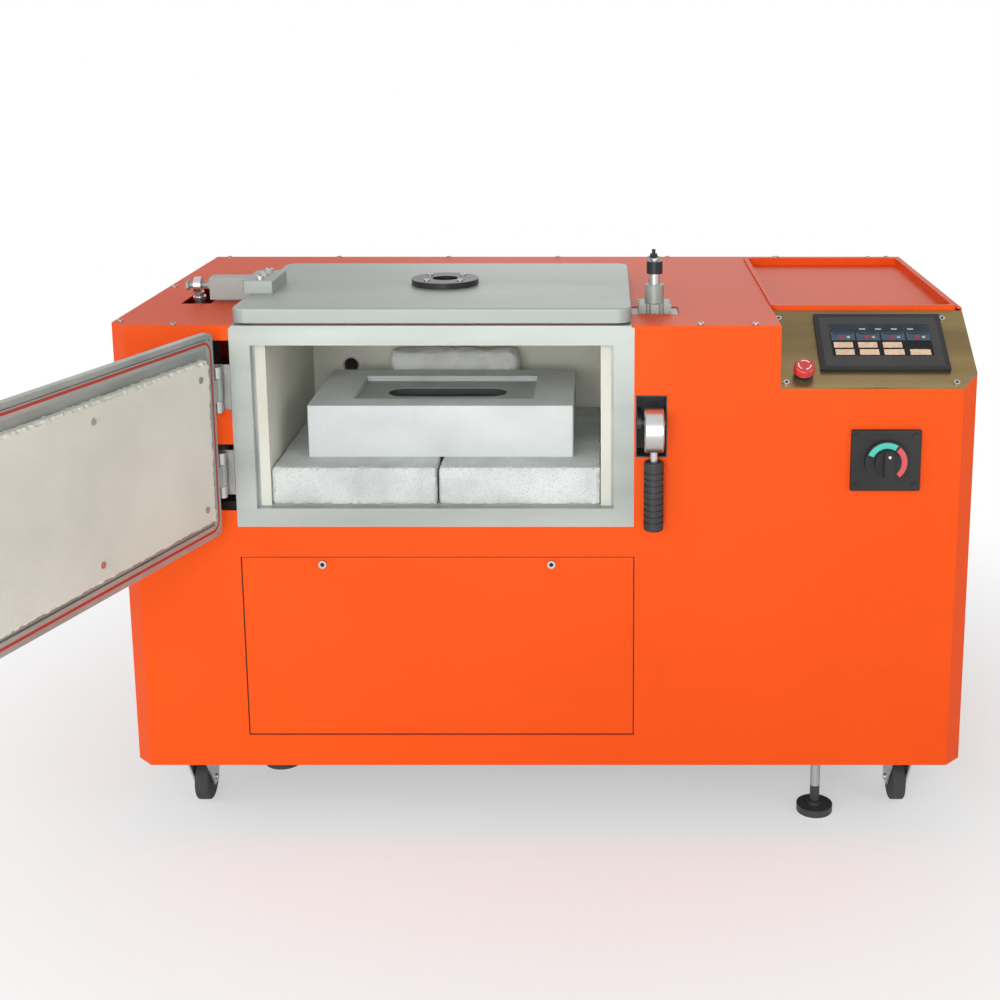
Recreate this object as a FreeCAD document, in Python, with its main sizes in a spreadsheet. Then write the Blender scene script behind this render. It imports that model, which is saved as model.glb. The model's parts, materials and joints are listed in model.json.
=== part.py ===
import FreeCAD, Part
import math
import os
import re
import Sketcher
from FreeCAD import Placement, Rotation, Vector

# Jewelry vacuum casting machine. X runs to the right, Y to the back and Z up.
# The origin is on the floor below the middle of the cabinet, in millimetres.

SIZES = {
    "cabinet_width": 1350, "cabinet_depth": 690, "cabinet_bottom": 112, "cabinet_top": 842,
    "corner_chamfer": 26, "sheet_gauge": 2, "panel_return": 34, "rear_return": 24,
    "frame_tube": 40, "post_tube": 30, "tube_wall": 3, "chamber_rail": 30,
    "chamber_left": -488, "chamber_width": 625.5, "chamber_floor": 520, "chamber_height": 321,
    "frame_depth": 16, "mouth_side": 32, "mouth_sill": 30, "mouth_lintel": 28,
    "shell_depth": 406, "shell_gauge": 4, "lining_thickness": 16, "lining_back_thickness": 17,
    "hearth_rise": 4, "brick_depth": 383, "brick_height": 62, "brick_gap": 3, "brick_edge": 3,
    "brick_clearance": 0.5, "brick_split": -172.5, "brick_setback": 17,
    "mould_left": -387, "mould_width": 428, "mould_setback": 78, "mould_depth": 255,
    "mould_height": 85, "pocket_margin_x": 66, "pocket_margin_y": 47, "pocket_depth": 24,
    "tray_clearance": 1, "tray_height": 15, "tray_slot_length": 200, "tray_slot_width": 60,
    "tray_slot_depth": 11, "wad_left": -303, "wad_width": 254, "wad_depth": 62,
    "wad_height": 124, "wad_rounding": 22, "port_centre_x": -368, "port_centre_z": 691,
    "port_bore_radius": 12.5, "port_wall": 3, "port_length": 70,
    "seat_top": 844, "seat_gauge": 3, "seat_setback": 20, "lid_left": -485, "lid_width": 618,
    "lid_setback": 5, "lid_depth": 442, "lid_thickness": 23, "lid_corner": 20, "lid_edge": 3,
    "seal_width": 12, "seal_height": 2.7, "seal_inset": 14, "lid_gap": 0.3,
    "plug_clearance": 6, "plug_front_clearance": 8, "plug_height": 30,
    "sight_centre_x": -176, "sight_setback": 227, "sight_radius": 56, "sight_bore": 21.5,
    "sight_height": 10, "glass_radius": 26, "glass_thickness": 8, "sight_screw_circle": 39,
    "screw_head_radius": 4.75, "screw_head_height": 2.8, "large_screw_radius": 6.5,
    "large_screw_height": 6, "block_left": -495, "block_width": 49, "block_setback": 136,
    "block_depth": 112, "block_height": 20, "block_screw_pitch": 36, "arm_end": -564,
    "arm_depth": 30, "arm_height": 37, "arm_bottom": 849, "eye_centre_x": -586,
    "eye_setback": 210, "eye_centre_z": 871, "eye_radius": 14, "eye_width": 12,
    "lift_pin_radius": 5, "lift_pin_end": -606, "nut_radius": 8.5, "nut_width": 5,
    "running_clearance": 0.08, "rod_radius": 8, "foot_setback": 262, "foot_height": 520,
    "barrel_radius": 25, "barrel_wall": 3, "barrel_top": 42, "barrel_bottom": 305,
    "cap_height": 11, "piston_height": 12, "piston_clearance": 0.3, "foot_pin_radius": 6,
    "foot_lug_width": 24, "foot_gap": 4, "bracket_gauge": 6, "bracket_reach": 40,
    "foot_window_half": 28, "cheek_rise": 12, "foot_drop": 40, "bracket_base_gauge": 8,
    "lid_axis_setback": 465, "lid_axis_height": 857, "lid_hinge_left": -370,
    "lid_hinge_right": 12, "lid_knuckle_radius": 9.5, "lid_knuckle_width": 58,
    "lid_lug_width": 8, "lid_pin_radius": 5, "lid_hinge_gap": 0.6, "lid_base_depth": 34,
    "door_axis_x": -506, "door_axis_proud": 12, "door_offset": 18, "door_width": 625,
    "door_base": 520, "door_height": 321, "door_thickness": 12, "door_front": 4,
    "door_corner": 12, "door_open": 109, "groove_depth": 2, "groove_inset": 8,
    "groove_width": 14, "door_seal_width": 12, "door_seal_proud": 3.7, "pad_inset_x": 37,
    "pad_inset_z": 34, "pad_thickness": 18, "pad_corner": 18, "pad_edge": 3,
    "pad_screw_inset": 26, "door_screw_radius": 5, "door_screw_height": 1.2,
    "door_pin_radius": 4, "door_knuckle_radius": 8, "upper_hinge_base": 710,
    "lower_hinge_base": 573, "hinge_height": 72, "hinge_knuckle": 18, "hinge_gap": 0.5,
    "hinge_leaf": 6, "hinge_slot_left": -528, "hinge_slot_width": 40,
    "upper_slot_base": 710, "lower_slot_base": 547, "upper_slot_height": 111,
    "lower_slot_height": 108, "access_left": -486, "access_width": 625, "access_base": 165,
    "access_height": 305, "access_lap": 10, "access_screw_left": -356,
    "access_screw_right": 7, "access_screw_drop": 12, "latch_left": 140, "latch_width": 49,
    "latch_base": 634, "latch_height": 100, "latch_depth": 48, "latch_lug": 6,
    "latch_axle_radius": 5, "latch_axle_rise": 11, "latch_axle_proud": 12,
    "cam_radius": 35, "cam_centre_rise": 48, "cam_centre_proud": 16, "cam_left": 153,
    "cam_width": 30, "neck_radius": 6, "neck_length": 18, "grip_radius": 15.5,
    "grip_length": 112, "grip_proud": 18, "grip_rib_pitch": 10, "grip_rib_depth": 1.6,
    "console_left": 364, "console_low": 744, "console_rise": 93, "console_run": 149,
    "console_gauge": 3, "console_edge_gap": 1, "console_screw_inset": 10,
    "screen_left": 430, "screen_width": 204, "screen_start": 34, "screen_length": 127,
    "screen_proud": 6, "screen_body_depth": 34, "screen_margin": 8, "screen_header": 12,
    "screen_recess": 1, "stop_centre_x": 402, "stop_along": 27, "stop_collar_radius": 15,
    "stop_collar_height": 4, "stop_body_radius": 11, "stop_body_depth": 44,
    "stop_head_radius": 16.5, "stop_head_height": 13, "stop_head_lift": 10,
    "stop_stem_radius": 7, "stop_head_edge": 4, "tray_right_gap": 7, "tray_back_margin": 35,
    "tray_rim": 8, "tray_top": 848, "tray_floor": 834, "tray_gauge": 2, "tray_corner": 10,
    "switch_left": 476, "switch_width": 109.5, "switch_base": 581, "switch_height": 98.5,
    "switch_plate_thickness": 8, "switch_plate_edge": 3, "dial_radius": 34,
    "dial_height": 8, "knob_radius": 20, "knob_height": 22, "knob_grip_width": 15,
    "knob_grip_height": 12, "switch_shaft_radius": 4, "switch_body_depth": 60,
    "switch_screw_inset": 9, "knob_gap": 0.3, "knob_edge": 2.5, "clamp_centre_x": 172, "clamp_setback": 126,
    "clamp_width": 52, "clamp_top": 858, "clamp_body_depth": 130, "clamp_groove_radius": 4,
    "clamp_slot_left": 135, "clamp_slot_width": 76, "clamp_slot_depth": 64,
    "clamp_tube_radius": 15.5, "clamp_tube_top": 887, "clamp_rod_radius": 8.5,
    "clamp_lift": 12, "clamp_lap": 12, "clamp_flange_gauge": 8, "clamp_arm_low": 893, "clamp_arm_height": 20,
    "clamp_arm_length": 47, "clamp_arm_width": 20, "clamp_bolt_radius": 3,
    "clamp_pad_height": 870.7, "clamp_pad_radius": 8, "clamp_pivot_radius": 5,
    "arm_slot_left": -611, "arm_slot_width": 50, "arm_slot_setback": 185,
    "arm_slot_depth": 150, "caster_x": 588, "caster_y": 270, "wheel_radius": 37.5,
    "wheel_width": 24, "wheel_round": 4, "caster_trail": 28, "axle_radius": 5,
    "fork_gap": 2, "fork_gauge": 3, "fork_top": 100, "kingpin_radius": 7,
    "caster_plate_length": 92, "caster_plate_width": 74, "caster_plate_gauge": 4,
    "race_radius": 24, "race_gap": 0.4, "pedal_start": 26, "pedal_length": 40,
    "pedal_height": 82, "pedal_gauge": 6, "pedal_pin_radius": 4, "foot_x": 445,
    "foot_inset": 60, "levelling_pad_radius": 30, "levelling_pad_height": 12,
    "stud_radius": 8, "stud_top": 215, "stud_clearance": 0.3, "foot_raised": 88,
    "foot_nut_radius": 13, "foot_nut_height": 8, "foot_nut_level": 40,
    "panel_screw_pitch": 210, "panel_screw_inset": 11, "pump_left": -300,
    "pump_width": 150, "pump_setback": 300, "pump_depth": 160, "pump_height": 190,
    "motor_radius": 75, "motor_length": 200, "box_left": 190, "box_width": 170,
    "box_setback": 380, "box_depth": 200, "box_height": 300,
}

doc = FreeCAD.newDocument("vacuum_caster")
sheet = doc.addObject("Spreadsheet::Sheet", "Sizes")
for row, (alias, amount) in enumerate(SIZES.items(), 1):
    sheet.set(f"A{row}", alias)
    sheet.set(f"B{row}", str(amount))
    sheet.setAlias(f"B{row}", alias)
doc.recompute()

MATHS = {"sin", "cos", "tan", "atan", "sqrt", "min", "max"}
FRONT = "(-cabinet_depth / 2)"
BACK = "(cabinet_depth / 2)"
SIDE = "(cabinet_width / 2)"
SLOPE = "atan(console_rise / console_run)"


def bound(text):
    """The expression with each size name pointed at its cell."""
    def cell(word):
        return word.group(0) if word.group(0) in MATHS else "Sizes." + word.group(0)
    return re.sub(r"[a-z][a-z_]*", cell, str(text))


def size(alias):
    return float(getattr(sheet, alias))


def unique(name):
    """A free object name, so that helper shapes never clash."""
    count = 1
    while doc.getObject(f"{name}_{count}"):
        count += 1
    return f"{name}_{count}"


def place(piece, x="0", y="0", z="0"):
    for word, text in (("x", x), ("y", y), ("z", z)):
        piece.setExpression(f"Placement.Base.{word}", bound(text))
    return piece


def box(x, y, z):
    """A box between two ends on each axis, all of them expressions."""
    piece = doc.addObject("Part::Box", unique("block"))
    for side, ends in (("Length", x), ("Width", y), ("Height", z)):
        piece.setExpression(side, bound(f"({ends[1]}) - ({ends[0]})"))
    return place(piece, x[0], y[0], z[0])


TURNS = {
    "x": Rotation(Vector(0, 1, 0), 90),
    "y": Rotation(Vector(1, 0, 0), -90),
    "z": Rotation(),
}


def bar(radius, start, length, axis="z"):
    """A round bar from its start point along an axis."""
    piece = doc.addObject("Part::Cylinder", unique("bar"))
    piece.setExpression("Radius", bound(radius))
    piece.setExpression("Height", bound(length))
    piece.Placement = Placement(Vector(), TURNS[axis])
    return place(piece, *start)


def hexagon(radius, start, length, axis="z"):
    """A hexagonal prism for nuts and bolt heads."""
    piece = doc.addObject("Part::Prism", unique("hexagon"))
    piece.Polygon = 6
    piece.setExpression("Circumradius", bound(radius))
    piece.setExpression("Height", bound(length))
    piece.Placement = Placement(Vector(), TURNS[axis])
    return place(piece, *start)


def join(*pieces):
    if len(pieces) == 1:
        return pieces[0]
    whole = doc.addObject("Part::MultiFuse", unique("join"))
    whole.Shapes = list(pieces)
    return whole


def cut(base, *tools):
    rest = doc.addObject("Part::Cut", unique("cut"))
    rest.Base = base
    rest.Tool = join(*tools)
    return rest


def group(*pieces):
    """Separate solids kept together in one sub-part."""
    whole = doc.addObject("Part::Compound", unique("group"))
    whole.Links = list(pieces)
    return whole


def rounded(base, radius, choose, chamfer=False):
    """Fillet or chamfer on the edges that choose picks."""
    doc.recompute()
    kind = "Part::Chamfer" if chamfer else "Part::Fillet"
    piece = doc.addObject(kind, unique("edges"))
    piece.Base = base
    picked = [n for n, edge in enumerate(base.Shape.Edges, 1) if choose(edge)]
    piece.Edges = [(n, size(radius), size(radius)) for n in picked]
    return piece


def upright(edge):
    ends = [vertex.Point for vertex in edge.Vertexes]
    return len(ends) == 2 and (ends[1] - ends[0]).cross(Vector(0, 0, 1)).Length < 1e-6


def across(edge):
    ends = [vertex.Point for vertex in edge.Vertexes]
    return len(ends) == 2 and (ends[1] - ends[0]).cross(Vector(0, 1, 0)).Length < 1e-6


def at_height(level):
    def chosen(edge):
        bounds = edge.BoundBox
        return abs(bounds.ZMin - level) < 0.01 and abs(bounds.ZMax - level) < 0.01
    return chosen


def prism(plane, points, start, length):
    """A PartDesign body: a closed outline on a base plane, padded along its normal."""
    body = doc.addObject("PartDesign::Body", unique("body"))
    base = [item for item in body.Origin.OriginFeatures if item.Role == plane][0]
    sketch = body.newObject("Sketcher::SketchObject", unique("outline"))
    sketch.AttachmentSupport = [(base, "")]
    sketch.MapMode = "FlatFace"
    count = len(points)
    for n in range(count):
        here = Vector(n, n * n, 0)
        there = Vector((n + 1) % count, ((n + 1) % count) ** 2, 0)
        sketch.addGeometry(Part.LineSegment(here, there), False)
    for n in range(count):
        sketch.addConstraint(Sketcher.Constraint("Coincident", n, 2, (n + 1) % count, 1))
    for n, (across_text, up_text) in enumerate(points):
        for kind, text, now in (("DistanceX", across_text, n), ("DistanceY", up_text, n * n)):
            index = sketch.addConstraint(Sketcher.Constraint(kind, -1, 1, n, 1, float(now)))
            sketch.renameConstraint(index, f"{kind}{n}")
            sketch.setExpression(f"Constraints.{kind}{n}", bound(text))
    sketch.setExpression("AttachmentOffset.Base.z", bound(start))
    pad = body.newObject("PartDesign::Pad", unique("pad"))
    pad.Profile = sketch
    pad.setExpression("Length", bound(length))
    return body


def name(piece, label):
    piece.Label = label
    SUBPARTS.append(piece)
    return piece


SUBPARTS = []


# Cabinet: panels, cover and frame

def wrap_outline(inset):
    """The front of the cabinet in plan, with its chamfered corners, one wall inwards."""
    slant = f"({inset} * 0.41421)"
    return [
        (f"-{SIDE} + {inset}", f"{FRONT} + panel_return"),
        (f"-{SIDE} + {inset}", f"{FRONT} + corner_chamfer + {slant}"),
        (f"-{SIDE} + corner_chamfer + {slant}", f"{FRONT} + {inset}"),
        (f"{SIDE} - corner_chamfer - {slant}", f"{FRONT} + {inset}"),
        (f"{SIDE} - {inset}", f"{FRONT} + corner_chamfer + {slant}"),
        (f"{SIDE} - {inset}", f"{FRONT} + panel_return"),
    ]


def slope_cutter(drop):
    """Everything above the console's slope, a little lower with a larger drop."""
    return prism("YZ_Plane", [
        (f"{FRONT} - console_run", f"console_low - console_rise - {drop}"),
        (f"{FRONT} + console_run", f"console_low + console_rise - {drop}"),
        (f"{FRONT} + console_run", "cabinet_top * 1.2"),
        (f"{FRONT} - console_run", "cabinet_top * 1.2"),
    ], "console_left", f"{SIDE} + console_run")


def through_front(left, width, base, height):
    """A cutter through the front panel."""
    return box((left, f"{left} + {width}"), (f"{FRONT} - sheet_gauge", f"{FRONT} + 3 * sheet_gauge"),
               (base, f"{base} + {height}"))


CHAMBER_RIGHT = "(chamber_left + chamber_width)"
CHAMBER_TOP = "(chamber_floor + chamber_height)"
skin = prism("XY_Plane", wrap_outline("0") + wrap_outline("sheet_gauge")[::-1],
             "cabinet_bottom", "cabinet_top - cabinet_bottom")
name(cut(
    skin,
    slope_cutter("0"),
    box(("chamber_left", CHAMBER_RIGHT), (f"{FRONT} - 1", f"{FRONT} + 3 * sheet_gauge"),
        ("chamber_floor", "cabinet_top + 1")),
    through_front("access_left", "access_width", "access_base", "access_height"),
    through_front("hinge_slot_left", "hinge_slot_width", "upper_slot_base", "upper_slot_height"),
    through_front("hinge_slot_left", "hinge_slot_width", "lower_slot_base", "lower_slot_height"),
    through_front("latch_left", "latch_width", "latch_base", "latch_height"),
    bar("switch_shaft_radius * 3",
        ("switch_left + switch_width / 2", f"{FRONT} - 1", "switch_base + switch_height / 2"),
        "4 * sheet_gauge", "y"),
), "front_panel")

side_run = (f"{FRONT} + panel_return", f"{BACK} - rear_return")
full_height = ("cabinet_bottom", "cabinet_top")
name(box((f"-{SIDE}", f"-{SIDE} + sheet_gauge"), side_run, full_height), "left_side_panel")
right_side = box((f"{SIDE} - sheet_gauge", SIDE), side_run, full_height)
name(cut(right_side, slope_cutter("0")), "right_side_panel")

rear = box((f"-{SIDE}", SIDE), (f"{BACK} - rear_return", BACK), full_height)
rear_inside = box((f"-{SIDE} + sheet_gauge", f"{SIDE} - sheet_gauge"),
                  (f"{BACK} - rear_return - 1", f"{BACK} - sheet_gauge"),
                  ("cabinet_bottom - 1", "cabinet_top + 1"))
vents = [box((f"{left}", f"{left} + 120"), (f"{BACK} - 2 * sheet_gauge", f"{BACK} + 1"),
             (f"{level}", f"{level} + 5"))
         for left in (-60, 380) for level in range(600, 700, 16)]
name(cut(rear, rear_inside, *vents), "rear_panel")

LID_RIGHT = "(lid_left + lid_width)"
LID_BACK = "(lid_setback + lid_depth)"
TRAY_BACK = "(cabinet_depth - tray_back_margin)"
cover_level = ("cabinet_top", "cabinet_top + sheet_gauge")
cover = prism("XY_Plane", [
    (f"-{SIDE}", BACK),
    (f"-{SIDE}", f"{FRONT} + corner_chamfer"),
    (f"-{SIDE} + corner_chamfer", FRONT),
    ("console_left", FRONT),
    ("console_left", f"{FRONT} + console_run"),
    (SIDE, f"{FRONT} + console_run"),
    (SIDE, BACK),
], "cabinet_top", "sheet_gauge")


def through_cover(left, width, setback, depth):
    """A cutter through the top cover."""
    return box((left, f"{left} + {width}"),
               (f"{FRONT} + {setback}", f"{FRONT} + {setback} + {depth}"),
               ("cabinet_top - 1", "cabinet_top + sheet_gauge + 1"))


name(cut(
    cover,
    through_cover("lid_left", "lid_width", "-1", "lid_setback + lid_depth + 1"),
    through_cover("arm_slot_left", "arm_slot_width", "arm_slot_setback", "arm_slot_depth"),
    through_cover("clamp_slot_left", "clamp_slot_width", "clamp_setback - clamp_slot_depth / 2",
                  "clamp_slot_depth"),
    through_cover("console_left", f"{SIDE} - tray_right_gap - console_left", "console_run",
                  f"{TRAY_BACK} - console_run"),
), "top_cover")

access_screws = [
    bar("large_screw_radius", (f"access_screw_{side}", f"{FRONT} + sheet_gauge - large_screw_height",
                               "access_base + access_height - access_screw_drop"),
        "large_screw_height", "y")
    for side in ("left", "right")
]
name(box(("access_left - access_lap", "access_left + access_width + access_lap"),
         (f"{FRONT} + sheet_gauge", f"{FRONT} + 2 * sheet_gauge"),
         ("access_base - access_lap", "access_base + access_height + access_lap")), "access_panel")


def cover_screw(x, setback, level="cabinet_top + sheet_gauge"):
    return bar("screw_head_radius", (x, f"{FRONT} + {setback}", level), "screw_head_height")


def on_slope(piece, x, along, height):
    """Turns a piece onto the console's slope."""
    piece.Placement = Placement(Vector(), Rotation(Vector(1, 0, 0), 30))
    piece.setExpression("Placement.Rotation.Angle", bound(SLOPE))
    return place(piece, x, f"{FRONT} + ({along}) * cos({SLOPE}) - ({height}) * sin({SLOPE})",
                 f"console_low + ({along}) * sin({SLOPE}) + ({height}) * cos({SLOPE})")


def slope_bar(radius, length, x, along, height):
    piece = doc.addObject("Part::Cylinder", unique("slope_bar"))
    piece.setExpression("Radius", bound(radius))
    piece.setExpression("Height", bound(length))
    return on_slope(piece, x, along, height)


def slope_box(width, length, thickness, x, along, height):
    piece = doc.addObject("Part::Box", unique("slope_box"))
    for side, text in (("Length", width), ("Width", length), ("Height", thickness)):
        piece.setExpression(side, bound(text))
    return on_slope(piece, x, along, height)


SLOPE_LENGTH = "sqrt(console_rise * console_rise + console_run * console_run)"
slope_plate = slope_box(f"{SIDE} - console_left", SLOPE_LENGTH, "console_gauge", "console_left", "0", "0")
corner_cutter = prism("XY_Plane", [
    (f"{SIDE} - corner_chamfer", f"{FRONT} - corner_chamfer"),
    (f"{SIDE} + corner_chamfer", f"{FRONT} - corner_chamfer"),
    (f"{SIDE} + corner_chamfer", f"{FRONT} + 2 * corner_chamfer"),
    (SIDE, f"{FRONT} + corner_chamfer"),
    (f"{SIDE} - corner_chamfer", FRONT),
], "console_low / 2", "console_low")
cheek = prism("YZ_Plane", [
    (f"{FRONT} + sheet_gauge", "console_low"),
    (f"{FRONT} + console_run", "console_low + console_rise"),
    (f"{FRONT} + console_run", "cabinet_top"),
    (f"{FRONT} + sheet_gauge", "cabinet_top"),
], "console_left - sheet_gauge", "sheet_gauge")
SCREEN_BODY_WIDTH = "(screen_width - 2 * screen_margin)"
SCREEN_BODY_LENGTH = "(screen_length - 2 * screen_margin)"
screen_hole = slope_box(SCREEN_BODY_WIDTH, SCREEN_BODY_LENGTH, "8 * console_gauge",
                        "screen_left + screen_margin", "screen_start + screen_margin", "-console_gauge")
stop_hole = slope_bar("stop_body_radius", "8 * console_gauge", "stop_centre_x", "stop_along",
                      "-console_gauge")
name(join(cheek, cut(slope_plate, corner_cutter, screen_hole, stop_hole)), "console_plate")
console_screws = [
    slope_bar("screw_head_radius", "screw_head_height", x, along, "console_gauge")
    for x in ("console_left + console_screw_inset", f"{SIDE} - console_screw_inset - corner_chamfer")
    for along in ("console_screw_inset", f"{SLOPE_LENGTH} - 2 * console_screw_inset")
]

# Touch screen and emergency stop

bezel = slope_box("screen_width", "screen_length", "screen_proud", "screen_left", "screen_start",
                  "console_gauge")
GLASS = ("screen_left + screen_margin", "screen_start + screen_margin")
glass_recess = slope_box(SCREEN_BODY_WIDTH, SCREEN_BODY_LENGTH, "screen_recess + 1", *GLASS,
                         "console_gauge + screen_proud - screen_recess")
screen_body = slope_box(SCREEN_BODY_WIDTH, SCREEN_BODY_LENGTH, "screen_body_depth + console_gauge",
                        *GLASS, "-screen_body_depth")
soft_bezel = rounded(bezel, "screen_recess",
                     lambda edge: abs(edge.Length - size("screen_proud")) < 0.01)
name(join(cut(soft_bezel, glass_recess), screen_body), "screen_bezel")
name(slope_box(SCREEN_BODY_WIDTH, SCREEN_BODY_LENGTH, "screen_recess", *GLASS,
               "console_gauge + screen_proud - screen_recess"), "screen_glass")

STOP = ("stop_centre_x", "stop_along")
collar = slope_bar("stop_collar_radius", "stop_collar_height", *STOP, "console_gauge")
stop_body = slope_bar("stop_body_radius", "stop_body_depth + console_gauge", *STOP, "-stop_body_depth")
stop_bore = slope_bar("stop_stem_radius + running_clearance", "stop_body_depth + 4 * console_gauge",
                      *STOP, "-stop_body_depth + console_gauge")
name(cut(join(collar, stop_body), stop_bore), "stop_collar")
STOP_HEAD_BASE = "(console_gauge + stop_head_lift)"
stem = slope_bar("stop_stem_radius", "stop_body_depth * 0.6 + stop_head_lift + console_gauge", *STOP,
                 "-stop_body_depth * 0.6")
head = slope_bar("stop_head_radius", "stop_head_height", *STOP, STOP_HEAD_BASE)
soft_head = rounded(head, "stop_head_edge", lambda edge: len(edge.Vertexes) == 1
                    and edge.CenterOfMass.z > head.Shape.CenterOfMass.z)
name(join(stem, soft_head), "stop_head")

# Tool tray

TRAY_RIGHT = f"({SIDE} - tray_right_gap)"
basin = box(("console_left", TRAY_RIGHT), (f"{FRONT} + console_run", f"{FRONT} + {TRAY_BACK}"),
            ("tray_floor - tray_gauge", "tray_top"))
hollow = box(("console_left + tray_rim", f"{TRAY_RIGHT} - tray_rim"),
             (f"{FRONT} + console_run + tray_rim", f"{FRONT} + {TRAY_BACK} - tray_rim"),
             ("tray_floor", "tray_top + 1"))
name(cut(rounded(basin, "tray_corner", upright), rounded(hollow, "tray_corner", upright)), "tool_tray")
tray_screws = [
    cover_screw(f"console_left + (TRAY_RIGHT - console_left) * {share}".replace("TRAY_RIGHT", TRAY_RIGHT),
                f"{TRAY_BACK} - tray_rim / 2", "tray_top")
    for share in (0.2, 0.8)
]
edge_screws = []
for share in (-0.96, -0.64, -0.32, 0, 0.32, 0.64, 0.96):
    edge_screws.append(cover_screw(f"{SIDE} * {share}", "cabinet_depth - panel_screw_inset"))
for setback in ("panel_screw_inset + corner_chamfer", "cabinet_depth / 2"):
    edge_screws.append(cover_screw(f"-{SIDE} + panel_screw_inset", setback))
for x in ("-575", "240", "325"):
    edge_screws.append(cover_screw(x, "panel_screw_inset"))
name(group(*edge_screws, *tray_screws, *console_screws, *access_screws), "panel_screws")

# Main switch

SWITCH_X = "(switch_left + switch_width / 2)"
SWITCH_Z = "(switch_base + switch_height / 2)"
switch_plate = box(("switch_left", "switch_left + switch_width"),
                   (f"{FRONT} - switch_plate_thickness", FRONT),
                   ("switch_base", "switch_base + switch_height"))
doc.recompute()
front_edge = -size("cabinet_depth") / 2 - size("switch_plate_thickness")
soft_plate = rounded(switch_plate, "switch_plate_edge",
                     lambda edge: across(edge) or abs(edge.CenterOfMass.y - front_edge) < 0.01)
dial = bar("dial_radius", (SWITCH_X, f"{FRONT} - switch_plate_thickness - dial_height", SWITCH_Z),
           "dial_height", "y")
switch_body = bar("switch_shaft_radius * 3", (SWITCH_X, FRONT, SWITCH_Z), "switch_body_depth", "y")
switch_bore = bar("switch_shaft_radius + running_clearance",
                  (SWITCH_X, f"{FRONT} - switch_plate_thickness - dial_height - 1", SWITCH_Z),
                  "switch_plate_thickness + dial_height + switch_body_depth", "y")
switch_heads = [
    bar("screw_head_radius", (x, f"{FRONT} - switch_plate_thickness - screw_head_height", z),
        "screw_head_height", "y")
    for x in ("switch_left + switch_screw_inset", "switch_left + switch_width - switch_screw_inset")
    for z in ("switch_base + switch_screw_inset", "switch_base + switch_height - switch_screw_inset")
]
name(cut(join(soft_plate, dial, switch_body, *switch_heads), switch_bore), "main_switch")
KNOB_FACE = f"({FRONT} - switch_plate_thickness - dial_height - knob_gap)"
knob_disc = bar("knob_radius", (SWITCH_X, f"{KNOB_FACE} - knob_height + knob_grip_height", SWITCH_Z),
                "knob_height - knob_grip_height", "y")
knob_grip = box((f"{SWITCH_X} - knob_grip_width / 2", f"{SWITCH_X} + knob_grip_width / 2"),
                (f"{KNOB_FACE} - knob_height", KNOB_FACE),
                (f"{SWITCH_Z} - knob_radius", f"{SWITCH_Z} + knob_radius"))
shaft = bar("switch_shaft_radius", (SWITCH_X, KNOB_FACE, SWITCH_Z),
            "knob_gap + dial_height + switch_plate_thickness + switch_body_depth / 2", "y")
name(join(knob_disc, rounded(knob_grip, "knob_edge", across), shaft), "switch_knob")

# Chamber: frame, shell, linings, bricks, mould box and wad

INNER_LEFT = "(chamber_left + mouth_side)"
INNER_RIGHT = f"({CHAMBER_RIGHT} - mouth_side)"
LINED_LEFT = f"({INNER_LEFT} + shell_gauge + lining_thickness)"
LINED_RIGHT = f"({INNER_RIGHT} - shell_gauge - lining_thickness)"
SILL = "(chamber_floor + mouth_sill)"
WALL_BACK = f"({FRONT} + frame_depth + shell_depth - shell_gauge)"
LINED_BACK = f"({WALL_BACK} - lining_back_thickness)"
HEARTH = SILL
frame_block = box(("chamber_left", CHAMBER_RIGHT), (FRONT, f"{FRONT} + frame_depth"),
                  ("chamber_floor", CHAMBER_TOP))
mouth = box((INNER_LEFT, INNER_RIGHT), (f"{FRONT} - 1", f"{FRONT} + frame_depth + 1"),
            (SILL, f"{CHAMBER_TOP} - mouth_lintel"))
name(cut(frame_block, mouth), "chamber_frame")
shell_block = box((INNER_LEFT, INNER_RIGHT), (f"{FRONT} + frame_depth", f"{WALL_BACK} + shell_gauge"),
                  (f"{SILL} - hearth_rise - shell_gauge", CHAMBER_TOP))
shell_hollow = box((f"{INNER_LEFT} + shell_gauge", f"{INNER_RIGHT} - shell_gauge"),
                   (f"{FRONT} + frame_depth - 1", WALL_BACK),
                   (f"{SILL} - hearth_rise", f"{CHAMBER_TOP} + 1"))
PORT = ("port_centre_x", LINED_BACK, "port_centre_z")
port_tube = bar("port_bore_radius + port_wall", PORT, "lining_back_thickness + port_length", "y")
port_bore = bar("port_bore_radius", ("port_centre_x", f"{LINED_BACK} - 1", "port_centre_z"),
                "lining_back_thickness + port_length + 2", "y")
SEAT_BASE = "(seat_top - seat_gauge)"
seat_block = box(("lid_left", LID_RIGHT), (FRONT, f"{FRONT} + {LID_BACK}"), (SEAT_BASE, "seat_top"))
seat_hole = box((LINED_LEFT, LINED_RIGHT), (f"{FRONT} + seat_setback", LINED_BACK),
                (f"{SEAT_BASE} - 1", "seat_top + 1"))
name(cut(join(cut(shell_block, shell_hollow), port_tube, cut(seat_block, seat_hole)), port_bore),
     "chamber_shell")
lining_run = (f"{FRONT} + frame_depth", LINED_BACK)
lining_rise = (f"{SILL} - hearth_rise", f"{CHAMBER_TOP}")
back_lining = box((f"{INNER_LEFT} + shell_gauge", f"{INNER_RIGHT} - shell_gauge"),
                  (LINED_BACK, WALL_BACK), lining_rise)
port_hole = bar("port_bore_radius + port_wall", PORT, "lining_back_thickness", "y")
hearth = box((LINED_LEFT, LINED_RIGHT), lining_run, (f"{SILL} - hearth_rise", HEARTH))
name(group(
    box((f"{INNER_LEFT} + shell_gauge", LINED_LEFT), lining_run, lining_rise),
    box((LINED_RIGHT, f"{INNER_RIGHT} - shell_gauge"), lining_run, lining_rise),
    cut(back_lining, port_hole),
    hearth,
), "chamber_lining")


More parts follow.
